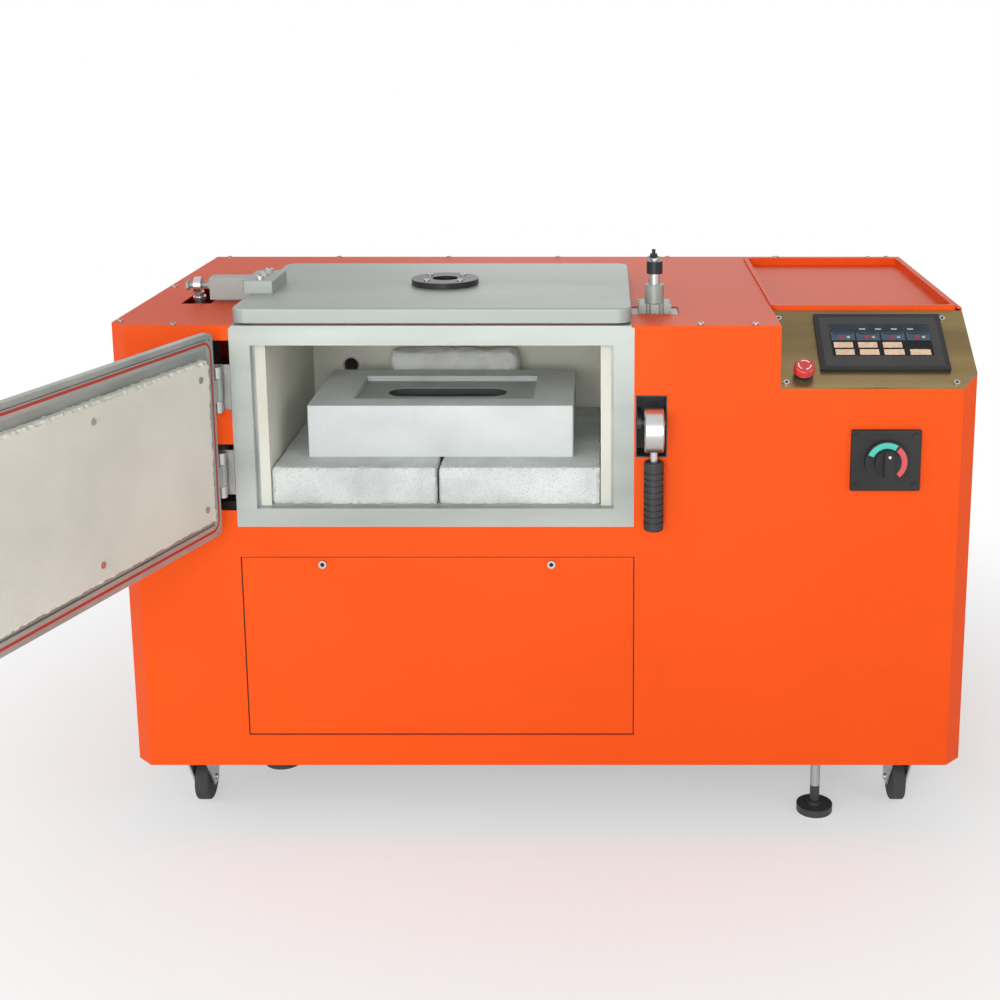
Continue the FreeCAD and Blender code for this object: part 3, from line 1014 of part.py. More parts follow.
kingpin_holes = [
    bar("kingpin_radius + 1", (f"{a}caster_x", "-caster_y", "cabinet_bottom - 1"), "frame_tube + 2")
    for a in "+-"
]
name(cut(join(*frame), *stud_holes, *kingpin_holes), "base_frame")

# Vacuum pump and control box on the frame's cross rails

pump_block = box(("pump_left", "pump_left + pump_width"),
                 (f"{FRONT} + pump_setback", f"{FRONT} + pump_setback + pump_depth"),
                 (TUBE_TOP, f"{TUBE_TOP} + pump_height"))
MOTOR = (f"({FRONT} + pump_setback + pump_depth / 2)", f"({TUBE_TOP} + pump_height / 2)")
motor = bar("motor_radius", ("pump_left + pump_width - 1", *MOTOR), "motor_length", "x")
fins = [bar("motor_radius + 5", (f"pump_left + pump_width + 30 + {n} * 14", *MOTOR), "4", "x")
        for n in range(9)]
pump_foot = box(("pump_left + pump_width", "pump_left + pump_width + motor_length"),
                (f"{MOTOR[0]} - motor_radius / 2", f"{MOTOR[0]} + motor_radius / 2"),
                (TUBE_TOP, f"{MOTOR[1]} - motor_radius / 2"))
pump_port = bar("port_bore_radius + port_wall", ("pump_left + pump_width / 2", MOTOR[0],
                                                 f"{TUBE_TOP} + pump_height - 1"), "port_wall * 10")
name(join(rounded(pump_block, "lid_corner", upright), motor, *fins, pump_foot, pump_port), "vacuum_pump")
name(box(("box_left", "box_left + box_width"), (f"{FRONT} + box_setback", f"{FRONT} + box_setback + box_depth"),
         (TUBE_TOP, f"{TUBE_TOP} + box_height")), "control_box")

doc.recompute()
for item in doc.Objects:
    if "Invalid" in item.State or "Error" in item.State:
        raise RuntimeError(f"{item.Name} ({item.Label}) failed: {item.State}")
for piece in SUBPARTS:
    if piece.Shape.isNull() or not piece.Shape.isValid() or not piece.Shape.Solids:
        raise RuntimeError(f"{piece.Label} has no valid solid")

os.makedirs("parts", exist_ok=True)
for piece in SUBPARTS:
    piece.Shape.exportStep(f"parts/{piece.Label}.step")
print(len(SUBPARTS), "sub-parts written")
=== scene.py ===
"""Looks of the jewelry vacuum casting machine: finishes, small trim, stage and camera."""
import json
import math

import bpy
from mathutils import Matrix, Vector, noise


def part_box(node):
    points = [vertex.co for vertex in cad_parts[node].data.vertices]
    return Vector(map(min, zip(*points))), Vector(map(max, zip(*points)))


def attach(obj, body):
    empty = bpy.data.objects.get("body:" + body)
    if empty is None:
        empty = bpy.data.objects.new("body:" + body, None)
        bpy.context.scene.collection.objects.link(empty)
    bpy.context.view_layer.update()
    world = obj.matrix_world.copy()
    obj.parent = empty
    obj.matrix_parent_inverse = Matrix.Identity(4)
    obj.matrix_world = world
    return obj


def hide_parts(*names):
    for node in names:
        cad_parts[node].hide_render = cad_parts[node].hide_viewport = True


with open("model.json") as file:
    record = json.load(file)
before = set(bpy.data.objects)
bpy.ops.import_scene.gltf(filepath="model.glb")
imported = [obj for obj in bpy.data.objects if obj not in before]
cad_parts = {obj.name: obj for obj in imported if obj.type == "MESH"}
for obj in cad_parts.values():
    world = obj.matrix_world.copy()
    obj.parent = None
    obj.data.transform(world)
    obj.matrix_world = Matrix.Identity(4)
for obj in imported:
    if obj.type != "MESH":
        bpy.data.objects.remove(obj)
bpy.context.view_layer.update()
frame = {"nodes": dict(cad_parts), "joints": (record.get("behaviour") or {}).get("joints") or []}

bl_info = {
    "name": "Casting machine looks",
    "version": (1, 0, 0),
    "blender": (4, 5, 0),
    "location": "View3D > Sidebar > Casting machine",
    "description": "Finishes and small trim of a jewelry vacuum casting machine",
    "category": "Object",
}

NODES = frame["nodes"]

# Places on the real machine, in metres

FRONT_FACE = -0.345
CONSOLE_LEFT = 0.364
CONSOLE_LOW = 0.744
CONSOLE_RISE = 0.093
CONSOLE_RUN = 0.149
SLOPE = math.atan2(CONSOLE_RISE, CONSOLE_RUN)


# Helpers for modelling

def pick_only(obj):
    bpy.ops.object.select_all(action="DESELECT")
    obj.select_set(True)
    bpy.context.view_layer.objects.active = obj


def settle(obj):
    """Puts the piece's place into its mesh, so its object sits at the origin."""
    pick_only(obj)
    if obj.type != "MESH":
        bpy.ops.object.convert(target="MESH")
    bpy.ops.object.transform_apply(location=True, rotation=True, scale=True)
    return obj


def apply_modifiers(obj):
    pick_only(obj)
    for modifier in list(obj.modifiers):
        bpy.ops.object.modifier_apply(modifier=modifier.name)


def soften(obj, width, segments=2):
    bevel = obj.modifiers.new("soft edges", "BEVEL")
    bevel.width = width
    bevel.segments = segments
    bevel.limit_method = "ANGLE"
    apply_modifiers(obj)
    return obj


def dress(obj, name, material, body):
    """Names a piece, gives it a material and lets it ride on a body."""
    obj.name = name
    obj.data.materials.clear()
    obj.data.materials.append(material)
    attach(obj, body)
    return obj


def slab(size, centre, turn=(0, 0, 0), edge=0.0):
    """A softened plate of a size, at a place and turn."""
    bpy.ops.object.select_all(action="DESELECT")
    bpy.ops.mesh.primitive_cube_add(size=1, location=centre, rotation=turn)
    obj = bpy.context.active_object
    obj.scale = size
    pick_only(obj)
    bpy.ops.object.transform_apply(location=False, rotation=False, scale=True)
    if edge:
        soften(obj, edge)
    return settle(obj)


def disc(radius, depth, centre, turn=(0, 0, 0), sides=48, edge=0.0):
    """A softened disc of a size, at a place and turn."""
    bpy.ops.object.select_all(action="DESELECT")
    bpy.ops.mesh.primitive_cylinder_add(vertices=sides, radius=radius, depth=depth,
                                        location=centre, rotation=turn)
    obj = bpy.context.active_object
    if edge:
        soften(obj, edge)
    return settle(obj)


def arc_band(inner, outer, depth, start, end, steps=24):
    """A flat band along an arc in the XY plane, made by spinning one edge."""
    bpy.ops.object.select_all(action="DESELECT")
    bpy.ops.mesh.primitive_plane_add(size=1, location=(0, 0, 0))
    obj = bpy.context.active_object
    obj.scale = ((outer - inner), depth, 1)
    obj.rotation_euler = (math.pi / 2, 0, 0)
    obj.location = ((outer + inner) / 2, 0, depth / 2)
    settle(obj)
    obj.data.transform(Matrix.Rotation(start, 4, "Z"))
    pick_only(obj)
    bpy.ops.object.mode_set(mode="EDIT")
    bpy.ops.mesh.select_all(action="SELECT")
    bpy.ops.mesh.spin(steps=steps, angle=end - start, center=(0, 0, 0), axis=(0, 0, 1))
    bpy.ops.mesh.select_all(action="SELECT")
    bpy.ops.mesh.remove_doubles(threshold=1e-6)
    bpy.ops.mesh.normals_make_consistent(inside=False)
    bpy.ops.object.mode_set(mode="OBJECT")
    return obj


def move_mesh(obj, matrix):
    obj.data.transform(matrix)
    obj.data.update()
    return obj


def merge(pieces):
    bpy.ops.object.select_all(action="DESELECT")
    for piece in pieces:
        piece.select_set(True)
    bpy.context.view_layer.objects.active = pieces[0]
    bpy.ops.object.join()
    return bpy.context.active_object


def islands(node):
    """The two corners of the box round each loose part of a node's mesh."""
    mesh = NODES[node].data
    keys = {}
    owner = []
    for vertex in mesh.vertices:
        key = tuple(round(c, 6) for c in vertex.co)
        owner.append(keys.setdefault(key, len(keys)))
    root = list(range(len(keys)))

    def find(n):
        while root[n] != n:
            root[n] = root[root[n]]
            n = root[n]
        return n

    for polygon in mesh.polygons:
        first = find(owner[polygon.vertices[0]])
        for corner in polygon.vertices[1:]:
            root[find(owner[corner])] = first
    groups = {}
    for index, vertex in enumerate(mesh.vertices):
        groups.setdefault(find(owner[index]), []).append(vertex.co)
    parts = []
    for points in groups.values():
        low = Vector([min(p[a] for p in points) for a in range(3)])
        high = Vector([max(p[a] for p in points) for a in range(3)])
        parts.append((low, high))
    return parts


# Shared shader groups

def new_group(name, inputs, outputs):
    group = bpy.data.node_groups.new(name, "ShaderNodeTree")
    for label, kind, default in inputs:
        socket = group.interface.new_socket(label, in_out="INPUT", socket_type=kind)
        socket.default_value = default
    for label, kind in outputs:
        group.interface.new_socket(label, in_out="OUTPUT", socket_type=kind)
    return group, group.nodes.new("NodeGroupInput"), group.nodes.new("NodeGroupOutput")


def grain_group():
    """Fine all-over grain: a mask for colour and a height for bumps."""
    group, source, sink = new_group(
        "Fine grain",
        [("Vector", "NodeSocketVector", (0, 0, 0)), ("Scale", "NodeSocketFloat", 400.0),
         ("Broad scale", "NodeSocketFloat", 6.0)],
        [("Height", "NodeSocketFloat"), ("Blotch", "NodeSocketFloat")])
    fine = group.nodes.new("ShaderNodeTexNoise")
    fine.inputs["Detail"].default_value = 3
    broad = group.nodes.new("ShaderNodeTexNoise")
    broad.inputs["Detail"].default_value = 4
    links = group.links
    links.new(source.outputs["Vector"], fine.inputs["Vector"])
    links.new(source.outputs["Scale"], fine.inputs["Scale"])
    links.new(source.outputs["Vector"], broad.inputs["Vector"])
    links.new(source.outputs["Broad scale"], broad.inputs["Scale"])
    links.new(fine.outputs["Fac"], sink.inputs["Height"])
    links.new(broad.outputs["Fac"], sink.inputs["Blotch"])
    return group


def speckle_group():
    """Dark specks on a fired surface, as a mask."""
    group, source, sink = new_group(
        "Specks",
        [("Vector", "NodeSocketVector", (0, 0, 0)), ("Scale", "NodeSocketFloat", 120.0),
         ("Size", "NodeSocketFloat", 0.2)],
        [("Mask", "NodeSocketFloat")])
    cells = group.nodes.new("ShaderNodeTexVoronoi")
    compare = group.nodes.new("ShaderNodeMath")
    compare.operation = "LESS_THAN"
    group.links.new(source.outputs["Vector"], cells.inputs["Vector"])
    group.links.new(source.outputs["Scale"], cells.inputs["Scale"])
    group.links.new(cells.outputs["Distance"], compare.inputs[0])
    group.links.new(source.outputs["Size"], compare.inputs[1])
    group.links.new(compare.outputs["Value"], sink.inputs["Mask"])
    return group


def material(name, colour, second=None, metallic=0.0, roughness=0.5, spread=0.12, bump=0.05,
             scale=400.0, broad=5.0, stretch=(1, 1, 1), specks=None, coat=0.0, gloss=0.5):
    """A finish with broad colour drift, fine grain in roughness and bump, and optional specks."""
    made = bpy.data.materials.new(name)
    made.use_nodes = True
    nodes, links = made.node_tree.nodes, made.node_tree.links
    shader = nodes["Principled BSDF"]
    shader.inputs["Metallic"].default_value = metallic
    shader.inputs["Coat Weight"].default_value = coat
    shader.inputs["Specular IOR Level"].default_value = gloss
    place = nodes.new("ShaderNodeTexCoord")
    mapping = nodes.new("ShaderNodeMapping")
    mapping.inputs["Scale"].default_value = stretch
    links.new(place.outputs["Object"], mapping.inputs["Vector"])
    grain = nodes.new("ShaderNodeGroup")
    grain.node_tree = bpy.data.node_groups["Fine grain"]
    grain.inputs["Scale"].default_value = scale
    grain.inputs["Broad scale"].default_value = broad
    links.new(mapping.outputs["Vector"], grain.inputs["Vector"])
    mix = nodes.new("ShaderNodeMix")
    mix.data_type = "RGBA"
    mix.inputs["A"].default_value = (*colour, 1)
    mix.inputs["B"].default_value = (*(second or [c * 0.82 for c in colour]), 1)
    drift = nodes.new("ShaderNodeMapRange")
    drift.inputs["From Min"].default_value = 0.35
    drift.inputs["From Max"].default_value = 0.7
    links.new(grain.outputs["Blotch"], drift.inputs["Value"])
    links.new(drift.outputs["Result"], mix.inputs["Factor"])
    last = mix.outputs["Result"]
    if specks:
        dots = nodes.new("ShaderNodeGroup")
        dots.node_tree = bpy.data.node_groups["Specks"]
        dots.inputs["Scale"].default_value = specks[1]
        dots.inputs["Size"].default_value = specks[2]
        links.new(place.outputs["Object"], dots.inputs["Vector"])
        over = nodes.new("ShaderNodeMix")
        over.data_type = "RGBA"
        over.inputs["B"].default_value = (*specks[0], 1)
        links.new(dots.outputs["Mask"], over.inputs["Factor"])
        links.new(last, over.inputs["A"])
        last = over.outputs["Result"]
    links.new(last, shader.inputs["Base Color"])
    rough = nodes.new("ShaderNodeMapRange")
    rough.inputs["To Min"].default_value = max(0.03, roughness - spread)
    rough.inputs["To Max"].default_value = min(1.0, roughness + spread)
    links.new(grain.outputs["Height"], rough.inputs["Value"])
    links.new(rough.outputs["Result"], shader.inputs["Roughness"])
    if bump:
        raised = nodes.new("ShaderNodeBump")
        raised.inputs["Strength"].default_value = bump
        raised.inputs["Distance"].default_value = 0.0006
        links.new(grain.outputs["Height"], raised.inputs["Height"])
        links.new(raised.outputs["Normal"], shader.inputs["Normal"])
    return made


FINISHES = {}

TRAY_SLOT_TOP = 0.687
FOOT_PAD_TOP = 0.046
CLEAR_METAL = (0.43, 0.46, 0.435)
DOOR_SPAN = (0.018, 0.643)
DOOR_RISE = (0.520, 0.841)
SEAL_BEND = 0.030
SEAL_LINE_INSET = 0.0125
SEAL_LINE_WIDTH = 0.0045


def screen_finish(name, colour, second=None, scale=40, broad=5.0):
    """A smooth area of the lit screen."""
    return material(name, colour, second=second, roughness=0.3, bump=0.0, scale=scale, broad=broad, gloss=0.2)


def make_finishes(colours):
    """Fills the table of finishes, by their short names."""
    grain_group()
    speckle_group()
    FINISHES.update(
        paint=material("Orange powder coat", colours.paint, second=colours.paint_shade, roughness=0.46,
                       spread=0.05, bump=0.12, scale=900, broad=1.6, gloss=0.14),
        lid=material("Lid aluminium", colours.aluminium, metallic=0.35, roughness=0.45, bump=0.08,
                     scale=300, stretch=(1, 5, 5), broad=1.2),
        plate=material("Clear anodised plate", CLEAR_METAL, second=(0.33, 0.355, 0.335), metallic=0.4,
                       roughness=0.4, bump=0.06, scale=300, stretch=(1, 6, 6), broad=2.5),
        steel=material("Turned steel", (0.58, 0.58, 0.57), metallic=0.95, roughness=0.3, bump=0.05,
                       scale=700),
        zinc=material("Zinc plated steel", (0.5, 0.51, 0.52), metallic=0.85, roughness=0.38, bump=0.08,
                      scale=200, broad=40),
        brass=material("Brass toned steel", colours.console, second=(0.085, 0.055, 0.021), metallic=0.75,
                       roughness=0.3, bump=0.05, scale=260, stretch=(1, 5, 5), broad=1.4),
        refractory=material("Refractory board", (0.70, 0.70, 0.62), second=(0.62, 0.62, 0.545),
                            roughness=0.95, spread=0.04, bump=0.5, scale=260, broad=7,
                            specks=((0.50, 0.50, 0.44), 340, 0.13)),
        brick=material("Fire brick", (0.68, 0.71, 0.70), second=(0.50, 0.53, 0.525), roughness=0.95,
                       spread=0.04, bump=0.9, scale=520, broad=13,
                       specks=((0.33, 0.345, 0.345), 430, 0.24)),
        mould=material("Mould board", (0.70, 0.735, 0.73), second=(0.57, 0.60, 0.60), roughness=0.95,
                       spread=0.04, bump=0.5, scale=420, broad=8,
                       specks=((0.50, 0.52, 0.52), 480, 0.18)),
        fibre=material("Ceramic fibre", (0.80, 0.81, 0.79), second=(0.68, 0.70, 0.69), roughness=1.0,
                       spread=0.0, bump=0.9, scale=420, broad=30),
        tray=levelled("Mould tray", (0.055, 0.06, 0.065), (0.50, 0.53, 0.535), TRAY_SLOT_TOP,
                      roughness=0.7, bump=0.3, scale=500),
        foot=levelled("Levelling foot", (0.035, 0.035, 0.037), (0.5, 0.51, 0.52), FOOT_PAD_TOP,
                      metallic=(0.0, 0.85), roughness=0.45, bump=0.15, scale=400),
        black=material("Black plastic", (0.022, 0.022, 0.023), second=(0.032, 0.032, 0.034), roughness=0.48,
                       bump=0.25, scale=1100, broad=8),
        charcoal=material("Charcoal plastic", (0.018, 0.017, 0.017), second=(0.028, 0.027, 0.026),
                          roughness=0.5, bump=0.18, scale=1000, broad=6, gloss=0.3),
        rubber=material("Wheel rubber", (0.03, 0.03, 0.032), second=(0.05, 0.05, 0.05), roughness=0.8,
                        bump=0.4, scale=600, broad=14),
        anodised=material("Black anodised ring", (0.018, 0.018, 0.019), metallic=0.3, roughness=0.4,
                          bump=0.06, scale=900),
        oxide=material("Black oxide steel", (0.03, 0.03, 0.033), metallic=0.6, roughness=0.42, bump=0.2,
                       scale=500, broad=30),
        frame=material("Grey frame paint", (0.11, 0.115, 0.12), roughness=0.5, bump=0.15, scale=600),
        red=material("Red plastic", (0.62, 0.022, 0.02), second=(0.52, 0.016, 0.016), roughness=0.26,
                     spread=0.04, bump=0.04, scale=900, broad=8, coat=0.4),
        door_seal=door_seal_finish(),
        seal=material("Red silicone", (0.44, 0.05, 0.035), roughness=0.55, bump=0.2, scale=700),
        ink=material("White print", (0.86, 0.86, 0.84), roughness=0.5, bump=0.0, scale=800),
        header=screen_finish("Dark screen area", (0.020, 0.026, 0.036), second=(0.035, 0.044, 0.058),
                             scale=100, broad=60),
        night=screen_finish("Black screen area", (0.004, 0.004, 0.005), scale=100),
        tile=screen_finish("Blue grey screen area", (0.075, 0.115, 0.17), second=(0.05, 0.08, 0.125),
                           broad=90),
        peach=screen_finish("Peach screen keys", (0.86, 0.63, 0.45), second=(0.72, 0.47, 0.31), broad=160),
        mark=screen_finish("Pale screen marks", (0.62, 0.60, 0.42), second=(0.45, 0.44, 0.34), broad=80),
        lamp=screen_finish("Red screen marks", (0.40, 0.045, 0.06)),
        red_scale=material("Red scale", (0.72, 0.095, 0.115), roughness=0.5, bump=0.0, scale=300),
        teal_scale=material("Teal scale", (0.075, 0.60, 0.50), roughness=0.5, bump=0.0, scale=300),
        # Painted shade: near-black laid as thin pieces in the screws' hex holes and in the access panel's
        # gap, where only shade falls.
        hole=material("Painted recess shade", (0.008, 0.008, 0.008), roughness=0.9, bump=0.0, scale=300),
        glass=glass_finish(),
    )


def levelled(name, low, high, level, metallic=(0.0, 0.0), roughness=0.5, bump=0.1, scale=400.0):
    """A finish with one colour below a height and another above it."""
    made = material(name, high, roughness=roughness, bump=bump, scale=scale)
    nodes, links = made.node_tree.nodes, made.node_tree.links
    shader = nodes["Principled BSDF"]
    upper = shader.inputs["Base Color"].links[0].from_socket
    place = nodes.new("ShaderNodeTexCoord")
    split = nodes.new("ShaderNodeSeparateXYZ")
    links.new(place.outputs["Object"], split.inputs["Vector"])
    above = nodes.new("ShaderNodeMath")
    above.operation = "GREATER_THAN"
    above.inputs[1].default_value = level
    links.new(split.outputs["Z"], above.inputs[0])
    mix = nodes.new("ShaderNodeMix")
    mix.data_type = "RGBA"
    mix.inputs["A"].default_value = (*low, 1)
    links.new(above.outputs["Value"], mix.inputs["Factor"])
    links.new(upper, mix.inputs["B"])
    links.new(mix.outputs["Result"], shader.inputs["Base Color"])
    if metallic[1]:
        shine = nodes.new("ShaderNodeMapRange")
        shine.inputs["To Min"].default_value, shine.inputs["To Max"].default_value = metallic
        links.new(above.outputs["Value"], shine.inputs["Value"])
        links.new(shine.outputs["Result"], shader.inputs["Metallic"])
    return made


def chain(nodes, links, operation, *values):
    """A Math node fed by sockets or plain numbers."""
    step = nodes.new("ShaderNodeMath")
    step.operation = operation
    for slot, value in zip(step.inputs, values):
        if isinstance(value, (int, float)):
            slot.default_value = value
        else:
            links.new(value, slot)
    return step.outputs["Value"]


def door_seal_finish():
    """Metal bed with one thin red line round the door, on the door's own coordinates."""
    made = material("Door seal line", CLEAR_METAL, metallic=0.4, roughness=0.42, bump=0.1, scale=500)
    nodes, links = made.node_tree.nodes, made.node_tree.links
    shader = nodes["Principled BSDF"]
    back = door_matrix().inverted()
    place = nodes.new("ShaderNodeTexCoord")
    mapping = nodes.new("ShaderNodeMapping")
    mapping.inputs["Location"].default_value = back.to_translation()
    mapping.inputs["Rotation"].default_value = back.to_euler()
    links.new(place.outputs["Object"], mapping.inputs["Vector"])
    split = nodes.new("ShaderNodeSeparateXYZ")
    links.new(mapping.outputs["Vector"], split.inputs["Vector"])
    reach = []
    for socket, (low, high) in (("X", DOOR_SPAN), ("Z", DOOR_RISE)):
        away = chain(nodes, links, "SUBTRACT", split.outputs[socket], (low + high) / 2)
        away = chain(nodes, links, "ABSOLUTE", away)
        reach.append(chain(nodes, links, "SUBTRACT", away, (high - low) / 2 - SEAL_BEND))
    outside = [chain(nodes, links, "MAXIMUM", value, 0.0) for value in reach]
    squares = [chain(nodes, links, "MULTIPLY", value, value) for value in outside]
    far = chain(nodes, links, "SQRT", chain(nodes, links, "ADD", *squares))
    near = chain(nodes, links, "MINIMUM", chain(nodes, links, "MAXIMUM", *reach), 0.0)
    depth = chain(nodes, links, "ADD", chain(nodes, links, "ADD", far, near), SEAL_LINE_INSET - SEAL_BEND)
    red = chain(nodes, links, "LESS_THAN", chain(nodes, links, "ABSOLUTE", depth), SEAL_LINE_WIDTH / 2)
    mix = nodes.new("ShaderNodeMix")
    mix.data_type = "RGBA"
    links.new(shader.inputs["Base Color"].links[0].from_socket, mix.inputs["A"])
    mix.inputs["B"].default_value = (0.42, 0.035, 0.02, 1)
    links.new(red, mix.inputs["Factor"])
    links.new(mix.outputs["Result"], shader.inputs["Base Color"])
    shine = chain(nodes, links, "MULTIPLY_ADD", red, -0.4, 0.4)
    links.new(shine, shader.inputs["Metallic"])
    return made


def glass_finish():
    """Thick sight glass, a little smoked."""
    made = material("Sight glass", (0.55, 0.60, 0.58), roughness=0.06, spread=0.02, bump=0.0, scale=60)
    made.node_tree.nodes["Principled BSDF"].inputs["Transmission Weight"].default_value = 0.85
    return made


CAD_FINISH = {
    "paint": ["front_panel", "left_side_panel", "right_side_panel", "rear_panel", "top_cover",
              "access_panel", "tool_tray"],
    "lid": ["lid_plate", "lid_arm", "clamp_body", "lift_cylinder"],
    "anodised": ["sight_ring"],
    "plate": ["chamber_frame", "door_plate", "chamber_shell"],
    "steel": ["latch_cam", "clamp_rod", "lift_rod", "door_hinges", "lid_hinges",
              "panel_screws", "lid_screws", "door_screws"],
    "zinc": ["caster_mounts", "caster_fork_front_left", "caster_fork_front_right"],
    "foot": ["levelling_foot_front_right", "levelling_foot_rear_left", "levelling_foot_rear_right"],
    "brass": ["console_plate"],
    "refractory": ["chamber_lining", "door_pad", "lid_insulation"],
    "brick": ["fire_bricks"],
    "mould": ["mould_box"],
    "fibre": ["fibre_wad"],
    "tray": ["mould_tray"],
    "black": ["latch_grip", "latch_bracket", "levelling_foot_front_left", "brake_pedal_front_left",
              "brake_pedal_front_right", "screen_glass", "stop_collar"],
    "charcoal": ["screen_bezel", "main_switch", "switch_knob"],
    "rubber": ["wheel_front_left", "wheel_front_right", "wheel_rear_left", "wheel_rear_right"],
    "oxide": ["clamp_arm"],
    "frame": ["base_frame", "lift_bracket", "vacuum_pump", "control_box"],
    "red": ["stop_head"],
    "seal": ["lid_seal"],
    "door_seal": ["door_seal"],
    "glass": ["sight_glass"],
}


def finish_nodes():
    """Puts one finish on each rigid part."""
    for finish, names in CAD_FINISH.items():
        for name in names:
            node = NODES[name]
            node.data.materials.clear()
            node.data.materials.append(FINISHES[finish])


# Trim on the sloped console

def slope_frame():
    """From the console's own plane, its left front corner at zero, to the machine's frame."""
    return Matrix.Translation((CONSOLE_LEFT, FRONT_FACE, CONSOLE_LOW)) @ Matrix.Rotation(SLOPE, 4, "X")


def on_slope(obj, along_x, along, height):
    """Lays a piece, drawn flat at zero, on the console."""
    return move_mesh(obj, slope_frame() @ Matrix.Translation((along_x, along, height)))


# The screen's lower left corner on the console, its size, and the height of its face

SCREEN_X, SCREEN_Y = 0.074, 0.042
SCREEN_W, SCREEN_H = 0.188, 0.111
SCREEN_FACE = 0.009


def screen_rect(name, finish, left, bottom, width, height, lift=0.0004, edge=0.0):
    """A flat area of the screen, given as shares of its width and height."""
    obj = slab((width * SCREEN_W, height * SCREEN_H, lift), (0, 0, 0), edge=edge)
    on_slope(obj, SCREEN_X + (left + width / 2) * SCREEN_W, SCREEN_Y + (bottom + height / 2) * SCREEN_H,
             SCREEN_FACE + lift / 2)
    return dress(obj, name, FINISHES[finish], "cabinet")


DISPLAY_LEFT, DISPLAY_RIGHT = 0.0745, 0.927
DISPLAY_LOW, DISPLAY_TOP = 0.21, 0.858


def display_rect(name, finish, left, right, top, bottom, lift, edge=0.0):
    """An area of the lit display, in shares of it from its top left corner."""
    wide, high = DISPLAY_RIGHT - DISPLAY_LEFT, DISPLAY_TOP - DISPLAY_LOW
    return screen_rect(name, finish, DISPLAY_LEFT + left * wide, DISPLAY_TOP - bottom * high,
                       (right - left) * wide, (bottom - top) * high, lift, edge)


KEY_ROWS = ((0.59, 0.76, ((0.023, 0.213), (0.265, 0.455), (0.51, 0.70))),
            (0.815, 0.985, ((0.03, 0.217), (0.27, 0.46), (0.51, 0.71), (0.767, 0.97))))


CELLS = 4
CELL_STEP = 0.25


def build_screen():
    """Plain fields, marks and keys in the places of the display's own, without words."""
    display_rect("screen_field", "night", 0, 1, 0, 1, 0.0003)
    display_rect("screen_header", "header", 0, 1, 0, 0.27, 0.0004)
    for n in range(CELLS):
        left = 0.01 + n * CELL_STEP
        display_rect(f"screen_cell_{n}", "tile", left, left + 0.235, 0.28, 0.53, 0.0005)
        display_rect(f"screen_cell_top_{n}", "header", left + 0.02, left + 0.215, 0.30, 0.34, 0.0006)
        display_rect(f"screen_lamp_{n}", "lamp", left + 0.085, left + 0.125, 0.38, 0.48, 0.0006)
        display_rect(f"screen_value_{n}", "mark", left + 0.155, left + 0.185, 0.40, 0.46, 0.0006)
        display_rect(f"screen_mark_{n}", "mark", 0.30 + n * 0.16, 0.36 + n * 0.16, 0.15, 0.19, 0.0006)
    for row, (top, bottom, spans) in enumerate(KEY_ROWS):
        for n, (left, right) in enumerate(spans):
            display_rect(f"screen_key_{row}_{n}", "peach", left, right, top, bottom, 0.0007, edge=0.0003)


STOP_CENTRE = (0.402 - CONSOLE_LEFT, 0.027)
STOP_FACE = 0.026
STOP_MARKS = 3
STOP_MARK_SWEEP = 1.45


def build_stop_marks():
    """Three plain turning arcs on the red head."""
    marks = []
    for n in range(STOP_MARKS):
        start = n * 2 * math.pi / STOP_MARKS
        marks.append(arc_band(0.0086, 0.0104, 0.0003, start, start + STOP_MARK_SWEEP, steps=12))
    marks = merge(marks)
    on_slope(marks, *STOP_CENTRE, STOP_FACE)
    dress(marks, "stop_marks", FINISHES["ink"], "stop_button")


SWITCH_X, SWITCH_Z = 0.53075, 0.63025
SWITCH_FACE = FRONT_FACE - 0.016
KNOB_FACE = -0.3835
KNOB_DOT_RISE = 0.0145
SWITCH_SCALES = (("red", 50, 150), ("teal", 158, 258))


def build_switch_marks():
    """The red and teal bands round the dial and the white dot on the knob."""
    stand = Matrix.Translation((SWITCH_X, SWITCH_FACE, SWITCH_Z)) @ Matrix.Rotation(math.pi / 2, 4, "X")
    for colour, start, end in SWITCH_SCALES:
        band = arc_band(0.0225, 0.0315, 0.0004, math.radians(start), math.radians(end))
        dress(move_mesh(band, stand), f"switch_scale_{colour}", FINISHES[f"{colour}_scale"],
              "cabinet")
    dot = disc(0.0022, 0.0005, (SWITCH_X, KNOB_FACE, SWITCH_Z + KNOB_DOT_RISE), (math.pi / 2, 0, 0), sides=24)
    dress(dot, "switch_dot", FINISHES["ink"], "switch")


def hex_socket_shade(radius, centre, normal):
    """A thin dark six-sided piece of painted shade, standing for the shaded hex hole of a screw's head."""
    obj = disc(radius, 0.0003, (0, 0, 0), sides=6)
    turn = Vector((0, 0, 1)).rotation_difference(normal).to_matrix().to_4x4()
    return move_mesh(obj, Matrix.Translation(centre) @ turn)


FRONT_SCREWS_BELOW = 0.6
SMALL_SOCKET = 0.0026
PANEL_SOCKET = 0.0036
LID_SOCKET_SHARE = 0.45
SOCKET_LIFT = 0.0001
CONSOLE_SCREW_LIFT = 0.0015


